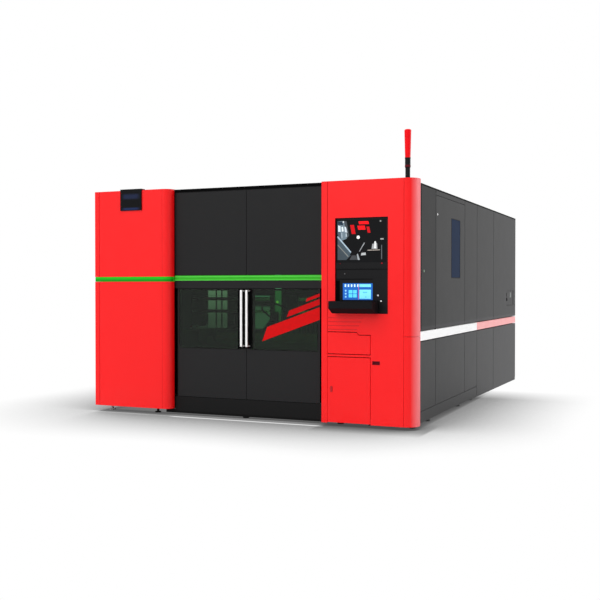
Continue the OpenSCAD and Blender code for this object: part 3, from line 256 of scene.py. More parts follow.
def powder_coat(name, colour, roughness, specular=0.3, drift=0.06, peel=0.00012, dust=0.0, uneven=0.05):
    """Painted sheet metal: colour times one plus or minus drift, orange peel, dust below 0.3 m."""
    made = material(name, colour, roughness, specular=specular)
    tree = made.node_tree
    tone = mixed(tree, noise(tree, 1.3, 3), scaled(colour, 1 - drift), scaled(colour, 1 + drift))
    if dust:
        settled = remap(tree, height_above_floor(tree, 0.02, 0.32), dust, 0, 0, 1)
        patches = product(tree, settled, remap(tree, noise(tree, 22, 5, (1, 1, 0.35)), 0.35, 1))
        tone = mixed(tree, patches, tone, DUST)
    feed(made, "Base Color", tone)
    feed(made, "Roughness", remap(tree, noise(tree, 7, 4), roughness - uneven, roughness + uneven))
    bump(made, noise(tree, 420, 2), peel, 0.6)
    return made


RED = (0.93, 0.0035, 0.0055)
DUST = (0.35, 0.34, 0.32)
# Painted light: the side band glows a little, though it is no lamp.
BAND_PAINTED_LIGHT = 0.1  # the side band is a little brighter than its paint would be
finishes = {
    "red_paint": powder_coat("red_powder_coat", RED, 0.36, drift=0.02, dust=0.02),
    "front_grey": powder_coat("anthracite_powder_coat", (0.0066, 0.0067, 0.0073), 0.46,
                              specular=0.18, drift=0.08, dust=0.02),
    "side_grey": powder_coat("side_anthracite_powder_coat", (0.016, 0.016, 0.0165), 0.5,
                             specular=0.25, drift=0.02, dust=0.03, uneven=0.01),
    "black_paint": powder_coat("black_powder_coat", (0.0024, 0.0024, 0.0028), 0.45,
                               specular=0.1, drift=0.1, dust=0.01),
    "fascia_black": powder_coat("fascia_fine_texture", (0.004, 0.004, 0.0048), 0.5,
                                specular=0.14, drift=0.08, peel=0.0003),
    "band_white": powder_coat("white_band_coat", (0.95, 0.95, 0.95), 0.36, drift=0.01),
    "band_pale": powder_coat("pale_red_band_coat", (0.93, 0.36, 0.36), 0.36, drift=0.01),
    "liner": powder_coat("pale_lining_coat", (0.11, 0.125, 0.11), 0.5, drift=0.08),
    "zinc": powder_coat("light_grey_sheet_coat", (0.42, 0.43, 0.44), 0.45, drift=0.05),
    "steel_frame": powder_coat("frame_tube_coat", (0.13, 0.135, 0.14), 0.5, drift=0.1, dust=0.15),
    "bed_paint": powder_coat("bed_structure_coat", (0.16, 0.18, 0.18), 0.48, drift=0.1, dust=0.15),
    "lock_red": powder_coat("latch_dark_red_coat", (0.42, 0.006, 0.01), 0.35, drift=0.05),
}
# Painted light: the white and the pale band glow a little, brighter than their paint would be.
for slot, glow in (("band_white", (1, 1, 1)), ("band_pale", (1, 0.4, 0.4))):
    shader_of(finishes[slot]).inputs["Emission Color"].default_value = (*glow, 1)
    shader_of(finishes[slot]).inputs["Emission Strength"].default_value = BAND_PAINTED_LIGHT
print(len(finishes), "powder coats")

# %% [markdown]
# ## Bare metal
# Handles are brushed along their length, rails are ground across it, the slats are
# plain steel that the beam has coloured and spattered. Brushing is a noise whose
# grains are many times longer along one axis.

# %% Bare metal


def brushed(name, colour, roughness, stretch, scale=60.0, spread=0.12, metallic=1.0):
    """Metal with grain along the axis whose stretch is small."""
    made = material(name, colour, roughness, metallic, 0.5)
    tree = made.node_tree
    grain = noise(tree, scale, 4, stretch, 0.65)
    feed(made, "Base Color", mixed(tree, grain, scaled(colour, 1 - spread), scaled(colour, 1 + spread)))
    feed(made, "Roughness", remap(tree, grain, roughness - 0.06, roughness + 0.1))
    bump(made, grain, 0.00004, 0.5)
    return made


def slat_steel():
    """Hot rolled steel: straw tints in patches, blue towards the teeth, spatter in the relief."""
    made = material("beam_marked_steel", (0.2, 0.19, 0.18), 0.5, metallic=0.8)
    tree = made.node_tree
    bare = mixed(tree, noise(tree, 9, 6), (0.16, 0.15, 0.14), (0.34, 0.32, 0.3))
    straw = mixed(tree, remap(tree, noise(tree, 31, 3), 0, 1, 0.45, 0.62), bare, (0.30, 0.20, 0.12))
    feed(made, "Base Color", mixed(tree, height_above_floor(tree, 0.762, 0.788), straw, (0.09, 0.09, 0.13)))
    feed(made, "Roughness", remap(tree, noise(tree, 40, 4), 0.38, 0.7))
    bump(made, noise(tree, 260, 5), 0.0004, 0.7)
    return made


finishes.update({
    "stainless": brushed("brushed_stainless", (0.9, 0.9, 0.9), 0.28, (30, 30, 0.4),
                         spread=0.06, metallic=0.45),
    "ground_steel": brushed("ground_steel", (0.6, 0.61, 0.62), 0.26, (1, 14, 1), 90),
    "raw_steel": slat_steel(),
})
print("finishes so far:", sorted(finishes))

# %% [markdown]
# ## Glass, plastics and rubber
# The panes are tinted plastic that stops the beam's light: seen from outside they
# are almost as dark as the paint, with a green cast. The lamp's lens is red plastic
# with a glow of its own. Rubber is dark, rough and lightly mottled.

# %% Glass, plastics and rubber


def pane_glass(name, tint, bend, specular, clear=1.0):
    """Tinted sheet: as far as it is clear, light goes through and takes the tint at each face."""
    made = material(name, tint, 0.0, specular=specular)
    tree, shader = made.node_tree, shader_of(made)
    shader.inputs["Transmission Weight"].default_value = clear
    shader.inputs["IOR"].default_value = bend
    feed(made, "Base Color", mixed(tree, noise(tree, 2.2, 2), scaled(tint, 0.94), scaled(tint, 1.06)))
    feed(made, "Roughness", remap(tree, noise(tree, 14, 4), 0.0, 0.01))
    return made


def moulded(name, colour, roughness, texture_depth=0.0002, specular=0.35):
    """Moulded plastic or rubber with a fine leather-like skin."""
    made = material(name, colour, roughness, specular=specular)
    tree = made.node_tree
    feed(made, "Base Color", mixed(tree, noise(tree, 18, 4), scaled(colour, 0.85), scaled(colour, 1.2)))
    feed(made, "Roughness", remap(tree, noise(tree, 55, 3), roughness - 0.06, roughness + 0.08))
    bump(made, noise(tree, 900, 2), texture_depth, 0.5)
    return made


def glowing(name, colour, glow, strength, roughness=0.3, specular=0.5):
    """A finish that also gives light; the glow's colour wanders a little."""
    made = moulded(name, colour, roughness, 0.00003, specular)
    tree = made.node_tree
    feed(made, "Emission Color", mixed(tree, noise(tree, 6, 2), scaled(glow, 0.9), glow))
    shader_of(made).inputs["Emission Strength"].default_value = strength
    return made


finishes.update({
    "laser_glass": pane_glass("green_laser_pane", (0.13, 0.30, 0.14), 1.3, 0.5),
    "blue_glass": pane_glass("dark_blue_pane", (0.016, 0.035, 0.085), 1.05, 0.1, clear=0.25),
    "lens_red": glowing("lamp_lens", (0.74, 0.002, 0.006), (0.9, 0.004, 0.01), 0.12, 0.3, 0.12),
    "button_white": moulded("white_button", (0.75, 0.76, 0.78), 0.25, 0.00004, 0.5),
    "black_plastic": moulded("black_moulded_plastic", (0.0035, 0.0035, 0.0042), 0.42, specular=0.14),
    "hose_rubber": moulded("hose_rubber", (0.006, 0.006, 0.006), 0.62, 0.0004, 0.1),
    "display_face": moulded("display_glass", (0.0032, 0.0036, 0.0045), 0.1, 0.00001, 0.12),
    "touch_face": glowing("touch_glass", (0.01, 0.03, 0.1), (0.012, 0.16, 0.66), 0.85, 0.12, 0.12),
    "pale_green_lens": moulded("pale_green_lens", (0.25, 0.36, 0.25), 0.4, 0.00002, 0.2),
    "black_film": moulded("black_film", (0.0006, 0.0006, 0.0008), 0.6, 0.00002, 0.03),
})
print("finishes in all:", len(finishes))

# %% [markdown]
# ## Red coats that change along a piece
# Some pieces are not one tone. In gaps and pressed grooves the red is darker behind
# the face, painted shade, with a little painted light in their depth. The left cover
# has painted light where it turns into the recess and painted shade on its side in
# the recess, and the right one has a painted highlight on its bend. Each is a second
# colour laid over the coat between two coordinates of the object.

# %% Red coats that change along a piece


def painted(made, colour, *spans):
    """Lays a colour on where all the spans hold; a span is axis, low, high, soft, in metres."""
    tree = made.node_tree
    factor = between(tree, *spans[0])
    for span in spans[1:]:
        factor = product(tree, factor, between(tree, *span))
    return recoloured(made, factor, colour)


def red_coat(name, *tones):
    """The red coat with other tones; a tone is a colour and one span."""
    made = powder_coat(name, RED, 0.36, drift=0.02, dust=0.02)
    for colour, span in tones:
        painted(made, colour, span)
    return made


GAP_MOUTH, GAP_FLOOR, GAP_SOFT = FRONT_M + 0.0012, FRONT_M + 0.0195, 0.0004


def painted_gap_shade_coat(name, inside):
    """A red coat with painted shade behind the face, and painted light glowing in the gaps."""
    made = red_coat(name, (inside, ("Y", GAP_MOUTH, 0.0, GAP_SOFT)))
    return lit(made, between(made.node_tree, "Y", GAP_MOUTH, GAP_FLOOR, GAP_SOFT), (0.34, 0.002, 0.004))


# Painted light: a slightly lighter red where the left cover turns into the recess.
turn_painted_light = ((0.97, 0.004, 0.006), ("X", -0.793, 0.2, 0.014))
cover_seam = ((0.45, 0.002, 0.003), ("X", -0.8755, -0.8735, 0.0005))
left_coat = red_coat("left_cover_coat", turn_painted_light, cover_seam)
# Painted shade: the left cover's side in the recess is near black, deeper than 86 mm behind the front.
painted(left_coat, (0.0012, 0.0008, 0.0008), ("X", -0.82, -0.7, 0.01), ("Y", FRONT_M + 0.086, -1.9, 0.003))
# Painted highlight: a pink tone on the bend of the right corner.
corner_coat = red_coat("right_corner_coat", ((0.95, 0.165, 0.18), ("X", 1.65, 2.0, 0.047)))
# Painted shade behind the face of the console's front and doors, with painted light in the gaps.
console_front_coat = painted_gap_shade_coat("grooved_front_coat", (0.30, 0.0015, 0.003))
console_door_coat = painted_gap_shade_coat("console_door_coat", (0.60, 0.003, 0.005))
print("four red coats")

# %% [markdown]
# ## Grey, green and blue-black coats
# The side wall has painted light: it is lighter to the rear and, towards the rear,
# lighter still below its band. It is darker on the first panel and black on its folded
# edges. The switch recess has a little painted light near its rear. The green band has
# painted highlights on two ribs, and painted light and shade left of the red turn. A
# painted blue sheen lies on the bare plate at the top left.

# %% Grey, green and blue-black coats
BLACK_EDGE = (0.0015, 0.0015, 0.0018)


def grey_coat(name, *tones):
    """The side wall's coat with painted light, lighter to the rear and below the band, and other tones; a
    tone is a colour and one span.
    """
    made = powder_coat(name, (0.022, 0.022, 0.0224), 0.58, specular=0.22, drift=0.02, dust=0.03, uneven=0.01)
    tree = made.node_tree
    # Painted light: the wall grows lighter to the rear.
    recoloured(made, fading(tree, "Y", 0, 1, -1.9, 2.6), (0.042, 0.042, 0.0435))
    first_panel = product(tree, between(tree, "Y", -2.3, -1.611, 0.003), fading(tree, "Z", 0, 1, 0.85, 0.852))
    recoloured(made, first_panel, (0.005, 0.005, 0.0052))
    # Painted light: lighter still below the band, most to the rear.
    low_rear_painted_light = product(tree, fading(tree, "Y", 0.3, 1, -1.5, 2.4), fading(tree, "Z", 1, 0, 0.88, 0.9))
    recoloured(made, low_rear_painted_light, (0.062, 0.062, 0.064))
    for colour, span in tones:
        painted(made, colour, span)
    return made


top_edge, rear_edge = (BLACK_EDGE, ("Z", 2.129, 3.0, 0.002)), (BLACK_EDGE, ("Y", 2.423, 3.0, 0.006))
wall_coat = grey_coat("side_wall_coat", top_edge, rear_edge)
recess_coat = powder_coat("recess_coat", (0.035, 0.035, 0.036), 0.55, specular=0.22)
# Painted light: the recess glows a little near its rear.
lit(recess_coat, between(recess_coat.node_tree, "Y", 2.27, 2.4, 0.02), (0.07, 0.07, 0.072))

green_coat = powder_coat("banded_green_coat", (0.035, 0.46, 0.014), 0.36, specular=0.2, drift=0.04)
band_low, band_high = (corner[2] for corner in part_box("green_bands"))
# Painted highlights: two paler lines where the ribs would catch the light.
for low, high in ((band_low + 0.004, band_low + 0.016), (band_high - 0.016, band_high - 0.008)):
    painted(green_coat, (0.085, 0.60, 0.06), ("Z", low, high, 0.003))
# Painted light and shade: left of the turn the band is light above and dark in its lower half.
upper_part = height_above_floor(green_coat.node_tree, 1.313, 1.319)
left_band_light_and_shade = mixed(green_coat.node_tree, upper_part, (0.002, 0.29, 0.002), (0.008, 0.54, 0.006))
painted(green_coat, left_band_light_and_shade, ("X", -2.0, -0.794, 0.001))

plate_coat = powder_coat("blue_black_plate_coat", (0.0016, 0.0016, 0.0024), 0.4, specular=0.1, drift=0.05)
plate_low, plate_high = (corner[2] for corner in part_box("nameplate"))
plate_middle = ("X", -1.29, -1.16, 0.045)
# Painted sheen: two soft blue bands across the middle of the plate.
painted(plate_coat, (0.012, 0.018, 0.05), ("Z", plate_high - 0.085, plate_high - 0.06, 0.02), plate_middle)
painted(plate_coat, (0.012, 0.025, 0.09), ("Z", plate_low + 0.012, plate_low + 0.02, 0.012), plate_middle)
print("coats for the wall, the recess, the band and the plate")

# %% [markdown]
# ## Coats in the chamber, and small ones outside
# The far panels throw some light on the gantry beam and on the front of the Z
# housing. Outside, painted shade makes the kick plate black at its foot, the feet are
# painted lighter where the floor round them is lighter, and the small lenses change
# from one place to the next.

# %% Coats in the chamber, and small ones outside


def lit_by_panels(name):
    """A dark coat with the light of the far panels on it, between two X and below the beam's rail."""
    made = powder_coat(name, (0.03, 0.032, 0.032), 0.5, drift=0.08)
    tree = made.node_tree
    below_rail = fading(tree, "Z", 1.0, 0.06, 1.034, 1.042)
    return lit(made, product(tree, between(tree, "X", -0.56, -0.136, 0.004), below_rail), (0.10, 0.17, 0.14))


carriage_coat = powder_coat("carriage_coat", (0.03, 0.032, 0.03), 0.5, drift=0.05)
tree = carriage_coat.node_tree
housing = product(tree, between(tree, "X", -0.052, 0.0194, 0.0003), between(tree, "Y", -2.0, -1.3312, 0.0005))
lit(carriage_coat, product(tree, housing, fading(tree, "Z", 0.55, 1, 0.9, 1.3)), (0.065, 0.27, 0.115))

dot_lens = moulded("small_dot_lens", (0.5, 0.004, 0.016), 0.3, 0.00003, 0.1)
painted(dot_lens, (0.12, 0.002, 0.008), ("X", 0.8, 1.0, 0.01))
painted(dot_lens, (0.13, 0.13, 0.13), ("Z", 1.2, 1.38, 0.005))
kick_coat = powder_coat("kick_plate_coat", (0.0042, 0.0042, 0.0044), 0.5, specular=0.14, drift=0.05)
kick_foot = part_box("kick_plate")[0][2]
# Painted shade: the kick plate is near black at its foot.
in_shade = fading(kick_coat.node_tree, "Z", 1, 0, kick_foot + 0.02, kick_foot + 0.023)
recoloured(kick_coat, in_shade, (0.0002, 0.0002, 0.0002))
foot_coat = powder_coat("foot_coat_with_painted_light", (0.008, 0.008, 0.008), 0.5, specular=0.15, drift=0.1)
# Painted light: the feet are lighter towards the sides, like the floor round them.
recoloured(foot_coat, fading(foot_coat.node_tree, "X", 0, 1, 0.6, 1.2), (0.12, 0.12, 0.12))
painted(foot_coat, (0.7, 0.7, 0.7), ("X", -2.0, -1.2, 0.05))
leaf_coat = powder_coat("door_leaf_coat", (0.0095, 0.0095, 0.0102), 0.46, specular=0.18)
port_coat = powder_coat("maroon_port_coat", (0.11, 0.002, 0.008), 0.45, specular=0.1, drift=0.05)
tray_coat = powder_coat("tray_black_coat", (0.0075, 0.0075, 0.0088), 0.62, specular=0.06, uneven=0.03)
own_coats = {
    "left_cover_upper": left_coat, "left_cover_lower": left_coat,
    "console_corners": corner_coat, "console_front": console_front_coat,
    "cupboard_door": console_door_coat, "compartment_door": console_door_coat,
    "right_side_panels": wall_coat, "service_door": grey_coat("service_door_coat"),
    "switch_recess": recess_coat, "green_bands": green_coat, "nameplate": plate_coat,
    "port_plate": port_coat, "keyboard_tray": tray_coat, "kick_plate": kick_coat, "feet": foot_coat,
    "door_left_leaf": leaf_coat, "door_right_leaf": leaf_coat,
    "hinge_pins": powder_coat("pin_black_oxide", (0.004, 0.004, 0.0045), 0.5, specular=0.1),
    "carriage": carriage_coat, "gantry_beam": lit_by_panels("beam_coat"), "indicator_lights": dot_lens,
}
print(len(own_coats), "pieces in their own coat")

# %% [markdown]
# ## Dress the CAD nodes
# The record says which material slot each node has, so one loop gives every node
# its finish, unless it has a coat of its own. A node's mesh is left alone.

# %% Dress the CAD nodes
record = frame["record"]
for row in record["subparts"]:
    dressed = frame["nodes"][row["node"]]
    finish = own_coats.get(row["node"]) or finishes[row["material_slot"]]
    if not dressed.material_slots:
        dressed.data.materials.append(finish)
    for held in dressed.material_slots:
        held.material = finish
print(len(record["subparts"]), "nodes dressed,", len(own_coats), "of them in their own coat")

# %% [markdown]
# ## Surfaces from arrays
# New pieces are worked out with numpy. One helper turns points and faces into an
# object that rides on its body; the others number the faces.

# %% Mesh helper


def piece(name, points, faces, finish, body, rounded=False):
    """An object from points and faces; a rounded one is smooth, closed at its poles and faces outward."""
    mesh = bpy.data.meshes.new(name)
    mesh.from_pydata(np.asarray(points, float).reshape(-1, 3).tolist(), [], np.asarray(faces).tolist())
    if rounded:
        shape = bmesh.new()
        shape.from_mesh(mesh)
        bmesh.ops.remove_doubles(shape, verts=shape.verts, dist=1e-6)
        bmesh.ops.dissolve_degenerate(shape, dist=1e-7, edges=shape.edges)
        bmesh.ops.recalc_face_normals(shape, faces=shape.faces)
        shape.to_mesh(mesh)
        shape.free()
    mesh.validate()
    mesh.polygons.foreach_set("use_smooth", np.full(len(mesh.polygons), rounded))
    made = bpy.data.objects.new(name, mesh)
    bpy.context.scene.collection.objects.link(made)
    made.data.materials.append(finish)
    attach(made, body)
    return made


def grid_faces(rows, columns, wrap_rows=False, wrap_columns=False):
    """Four-cornered faces of a grid of points; wrap joins the last row or column to the first."""
    r = np.arange(rows if wrap_rows else rows - 1)
    c = np.arange(columns if wrap_columns else columns - 1)
    i, j = (a.ravel() for a in np.meshgrid(r, c, indexing="ij"))
    k, m = (i + 1) % rows, (j + 1) % columns
    return np.stack([i * columns + j, k * columns + j, k * columns + m, i * columns + m], -1)


def repeated(faces, points_each, copies):
    """The same faces for several copies of a shape, whose points follow one another."""
    return (faces[None] + points_each * np.arange(copies)[:, None, None]).reshape(-1, 4)


print("one grid cell:", grid_faces(2, 2)[0])

# %% [markdown]
# ## Prisms on a face
# Prints, screen pictures and stripes are thin plates with four corners. All their
# corners are one array: each outline is set at a front depth and again at a back
# depth, and six faces close each plate. A colour for each plate is kept in the
# mesh's own attribute, which the finish reads.

# %% Plates with their own ink
NO_INK = (0, 0, 0)
PLATE_FACES = np.array([[0, 1, 2, 3], [7, 6, 5, 4], [0, 4, 5, 1], [1, 5, 6, 2], [2, 6, 7, 3], [3, 7, 4, 0]])


def ink_finish(name, roughness, glow=0.0, specular=0.3):
    """Reads the piece's ink attribute for its colour, and for its glow where it has one."""
    made = material(name, (0.5, 0.5, 0.5), roughness, specular=specular)
    tree = made.node_tree
    ink = tree.nodes.new("ShaderNodeAttribute")
    ink.attribute_name = "ink"
    worn = mixed(tree, remap(tree, noise(tree, 34, 3), 0.0, 0.12), ink.outputs["Color"], (0.02, 0.02, 0.02))
    feed(made, "Base Color", worn)
    feed(made, "Roughness", remap(tree, noise(tree, 25, 3), roughness, roughness + 0.08))
    if glow:
        feed(made, "Emission Color", worn)
        shader_of(made).inputs["Emission Strength"].default_value = glow
    return made


def plates(name, outlines, inks, front, back, finish, body):
    """Thin four-cornered plates: corners (x, z) run counter-clockwise as seen from the front."""
    outlines = np.asarray(outlines, float).reshape(-1, 4, 2)
    front = np.broadcast_to(np.asarray(front, float).reshape(-1, 1), outlines.shape[:2])
    points = np.concatenate([at(outlines[..., 0], y, outlines[..., 1]) for y in (front, back)], 1)
    made = piece(name, points, repeated(PLATE_FACES, 8, len(outlines)), finish, body)
    colours = np.ones((len(outlines), 4))
    colours[:, :3] = inks
    ink = made.data.color_attributes.new("ink", "FLOAT_COLOR", "POINT")
    ink.data.foreach_set("color", np.repeat(colours, 8, 0).ravel())
    return made


def black_plates(name, outlines, front, back, body="machine"):
    return plates(name, outlines, NO_INK, front, back, finishes["black_film"], body)


def rectangles(boxes):
    """Outlines of upright rectangles from rows of x0, z0, x1, z1."""
    b = np.asarray(boxes, float)
    return np.stack([b[:, [0, 1]], b[:, [2, 1]], b[:, [2, 3]], b[:, [0, 3]]], 1)


print("plate faces:", len(PLATE_FACES))

# %% [markdown]
# ## Film on the doors
# Three bars in a deeper red rise to the right across the right door, over pane and
# stile. They are film: thin plates whose lower edge rises 36 mm in 100, with a
# slanted cut at the left end. Behind the two handles lies matt black film, so that
# the bright bars stand out.

# %% Film on the doors
CLIMB, CUT = 0.36, 0.45
LEAF_EDGE = 728
BARS = ((150, 735, 115), (400, 962, 52), (590, 1104, 28))  # left end, its height, width


def rising_bar(x0, z0, width):
    """Corners of a bar: its lower edge climbs with x, its upper edge runs parallel, its left end leans."""
    z1 = z0 + CLIMB * (LEAF_EDGE - x0)
    return [[x0, z0], [LEAF_EDGE, z1], [LEAF_EDGE, z1 + width],
            [x0 + CUT * width, z0 + CLIMB * CUT * width + width]]


bar_inks = [(0.66, 0.003, 0.004), (0.56, 0.002, 0.004), (0.56, 0.002, 0.004)]
red_film = ink_finish("red_film", 0.4, specular=0.08)
plates("door_bars", [rising_bar(*bar) for bar in BARS], bar_inks, PANEL_Y - 0.8, PANEL_Y - 0.02,
       red_film, "door_right")
for body, x0, x1 in (("door_left", -104, -17), ("door_right", -11, 45)):
    film = rectangles([[x0, 661, x1, 1222]])
    black_plates(f"{body}_handle_film", film, PANEL_Y - 0.25, PANEL_Y - 0.01, body)
print(len(BARS), "red bars and two black films")

# %% [markdown]
# ## Painted shade beside the doors
# On the hinge side each leaf leaves a gap. Black plates on the frame fill the view
# through it with painted shade.

# %% Painted shade beside the doors
frame_y = in_source(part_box("door_left_leaf"))[1][1] + 3
# Painted shade: black plates behind the hinge gaps.
gap_shade_plates = rectangles([[-788, 184, -741, 1224], [731, 184, 760, 1224]])
black_plates("door_gap_painted_shade", gap_shade_plates, frame_y - 0.8, frame_y - 0.05)
print("frame front at", round(frame_y, 1))

# %% [markdown]
# ## Upper display
# The display shows a picture of work inside the machine: pale metal at the left,
# dark gaps, a bright spot and a few slanted lines. Fields of colour are enough at
# this size. The plates stand 0.3 mm off the glass, each a little before the last.

# %% Upper display
SCREEN_Y = 15.3
DISPLAY_X, DISPLAY_Z = 925.0, 1457.0


def picture(name, outlines, inks, step, finish):
    """Plates on a screen, each one a step further out than the one before."""
    fronts = SCREEN_Y - 0.3 - step * np.arange(len(outlines))
    return plates(name, outlines, inks, fronts, SCREEN_Y - 0.02, finish, "machine")


display_plates = [
    ([[6, 250], [40, 190], [24, 366], [6, 366]], (0.07, 0.10, 0.13)),
    ([[40, 190], [92, 210], [66, 366], [24, 366]], (0.14, 0.19, 0.23)),
    ([[92, 210], [116, 236], [90, 366], [66, 366]], (0.05, 0.06, 0.07)),
    ([[12, 272], [36, 272], [34, 320], [10, 330]], (0.62, 0.72, 0.78)),
    ([[46, 272], [64, 276], [58, 318], [42, 312]], (0.66, 0.74, 0.78)),
    ([[74, 268], [98, 262], [86, 312], [70, 318]], (0.55, 0.62, 0.68)),
    ([[44, 216], [52, 216], [48, 266], [42, 262]], (0.36, 0.44, 0.5)),
    ([[84, 222], [96, 230], [92, 258], [82, 256]], (0.4, 0.47, 0.52)),
    ([[10, 336], [58, 330], [54, 362], [10, 362]], (0.015, 0.03, 0.05)),
    ([[55, 352], [66, 352], [66, 364], [55, 364]], (0.7, 0.74, 0.76)),
    ([[6, 22], [88, 22], [130, 62], [6, 150]], (0.045, 0.062, 0.075)),
    ([[6, 165], [108, 52], [134, 84], [6, 222]], (0.055, 0.08, 0.10)),
    ([[6, 152], [104, 48], [110, 54], [6, 162]], (0.20, 0.21, 0.20)),
    ([[4, 222], [128, 84], [136, 92], [8, 236]], (0.34, 0.44, 0.52)),
    ([[120, 22], [196, 22], [176, 62], [140, 62]], (0.05, 0.055, 0.06)),
    ([[196, 22], [216, 22], [196, 78], [186, 66]], (0.3, 0.33, 0.35)),
    ([[206, 92], [214, 96], [262, 170], [254, 172]], (0.32, 0.34, 0.36)),
    ([[226, 60], [272, 64], [268, 86], [230, 82]], (0.42, 0.44, 0.45)),
    ([[286, 102], [400, 104], [400, 110], [286, 108]], (0.4, 0.36, 0.32)),
    ([[324, 116], [378, 116], [374, 168], [330, 160]], (0.3, 0.31, 0.32)),
    ([[346, 120], [366, 120], [364, 182], [350, 182]], (0.72, 0.74, 0.74)),
    ([[404, 196], [434, 196], [434, 208], [404, 208]], (0.34, 0.34, 0.33)),
    ([[188, 208], [212, 208], [212, 232], [188, 232]], (0.85, 0.86, 0.86)),
    ([[200, 203], [217, 220], [200, 237], [183, 220]], (0.85, 0.86, 0.86)),
    ([[400, 352], [412, 352], [412, 364], [400, 364]], (0.3, 0.31, 0.3)),
    ([[412, 26], [420, 26], [420, 150], [412, 150]], (0.10, 0.11, 0.12)),
    ([[140, 250], [176, 250], [160, 330], [124, 330]], (0.55, 0.004, 0.008)),
    ([[200, 286], [268, 286], [260, 322], [192, 322]], (0.9, 0.006, 0.01)),
    ([[208, 334], [300, 334], [294, 360], [202, 360]], (0.9, 0.006, 0.01)),
    ([[288, 258], [314, 258], [302, 312], [276, 312]], (0.55, 0.004, 0.008)),
]
display_outlines = np.array([corners for corners, _ in display_plates], float) + [DISPLAY_X, DISPLAY_Z]
lit_layer = ink_finish("lit_picture_layer", 0.2, glow=0.4, specular=0.1)
display_inks = [ink for _, ink in display_plates]
picture("display_picture", display_outlines, display_inks, 0.02, lit_layer)
print(len(display_plates), "fields on the display")

# %% [markdown]
# ## Touch screen
# The control page is blue with a row of keys on top, icons at the left and a panel
# of values at the right. No lettering: tiles and bars only. Dark lines on the fascia
# show where its plates meet.

# %% Touch screen
TOUCH_X, TOUCH_Z = 981.0, 1127.0
FASCIA_Y = 12.0
icons = [[55 + 41 * i, 56 - 35 * j, 90 + 41 * i, 86 - 35 * j] for i in range(2) for j in range(2)]
touch_tiles = (
    ((0.5, 0.74, 0.86), [[18 + 29 * i, 114, 31 + 29 * i, 137] for i in range(5)]),  # keys
    ((0.22, 0.5, 0.75), [[20, 74 - 27 * j, 34, 88 - 27 * j] for j in range(3)]),  # small keys
    ((0.09, 0.52, 0.76), icons),
    ((0.16, 0.58, 0.74), [[155, 10, 262, 90], [155, 113, 262, 138]]),  # panels of values
    ((0.08, 0.42, 0.58), [[186, 60, 228, 72], [206, 20, 222, 30]]),  # values
    ((0.01, 0.06, 0.30), [[10, 4, 142, 9]]),  # foot of the page
    ((0.6, 0.05, 0.15), [[146, 4, 149, 140]]),  # the line that parts the page
)
touch_boxes = np.array([box for _, boxes in touch_tiles for box in boxes], float) + [TOUCH_X, TOUCH_Z] * 2
touch_inks = [ink for ink, boxes in touch_tiles for _ in boxes]
bright_layer = ink_finish("bright_control_layer", 0.2, glow=0.9, specular=0.1)
picture("touch_picture", rectangles(touch_boxes), touch_inks, 0.01, bright_layer)
fascia_lines = rectangles([[904, 1112, 921, 1858], [921.5, 1112, 954, 1299], [921.5, 1306, 1261, 1312],
                           [921.5, 1392, 1394, 1396], [1401, 1000, 1412, 1450]])
black_plates("fascia_joint_lines", fascia_lines, FASCIA_Y - 0.3, FASCIA_Y - 0.02)
print(len(touch_boxes), "fields on the touch screen and", len(fascia_lines), "joint lines")

# %% [markdown]
# ## Seals round the panes
# Each pane is held by a rubber bead. A bead is a small half-round profile carried
# along a rectangle with rounded corners: the path and the profile are both arrays,
# and every point is path + profile.

# %% Seals
SEAL_CORNER = 8


def rounded_loop(x0, z0, x1, z1, radius, steps=6):
    """Points round a rectangle: each corner is its centre plus radius times (cos, sin)."""
    turn = (np.arange(4)[:, None] + np.linspace(0, 1, steps)[None]) * math.pi / 2
    centre_x = np.array([x1 - radius, x0 + radius, x0 + radius, x1 - radius])[:, None]
    centre_z = np.array([z1 - radius, z1 - radius, z0 + radius, z0 + radius])[:, None]
    return np.stack([centre_x + radius * np.cos(turn), centre_z + radius * np.sin(turn)], -1).reshape(-1, 2)


def bead_loop(loop, width, height, steps=7):
    """A half-ellipse along a loop: outward by width cos, forward by height sin. Gives u, w, forward."""
    tangent = np.roll(loop, -1, 0) - np.roll(loop, 1, 0)
    tangent /= np.linalg.norm(tangent, axis=1, keepdims=True)
    outward = np.stack([tangent[:, 1], -tangent[:, 0]], -1)
    angle = np.linspace(0, math.pi, steps)
    around = loop[:, None] + outward[:, None] * (width / 2 * np.cos(angle))[None, :, None]
    forward = np.broadcast_to(height * np.sin(angle), around.shape[:2])
    return around[..., 0], around[..., 1], forward


def seal(name, box, axis, width, height, body):
    """A rubber bead round the outline that a box shows along an axis: 0 on the side wall, 1 on the doors."""
    outline = np.delete(in_source(box), axis, 1).ravel()
    u, w, forward = bead_loop(rounded_loop(*outline, SEAL_CORNER), width, height)
    points = at(SIDE_X + forward, u, w) if axis == 0 else at(u, PANEL_Y - forward, w)
    faces = grid_faces(*u.shape, True, True)
    return piece(name, points, faces, finishes["hose_rubber"], body, True)


seal("left_pane_seal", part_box("door_left_pane"), 1, 5.0, 0.6, "door_left")
seal("right_pane_seal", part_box("door_right_pane"), 1, 5.0, 0.6, "door_right")
seal("service_window_seal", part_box("service_window"), 0, 8.0, 1.5, "service")
print("three seals")

# %% [markdown]
# ## Edge strips
# A black edging runs along the side wall's top and down its front edge, where it
# meets the red column. Under the rear panels a lip reaches down almost to the floor,
# and a blank label lies in the switch recess. These thin plates look along +X, so
# their corners are (y, z). A black lip stands on the cap between the red cabinets.

# %% Edge strips


def wall_plates(name, outlines, outer, inner, finish):
    """Thin plates that look along +X: corners (y, z) at an outer and an inner X."""
    outlines = np.asarray(outlines, float).reshape(-1, 4, 2)
    points = np.concatenate([at(x, outlines[..., 0], outlines[..., 1]) for x in (outer, inner)], 1)
    return piece(name, points, repeated(PLATE_FACES, 8, len(outlines)), finish, "machine")


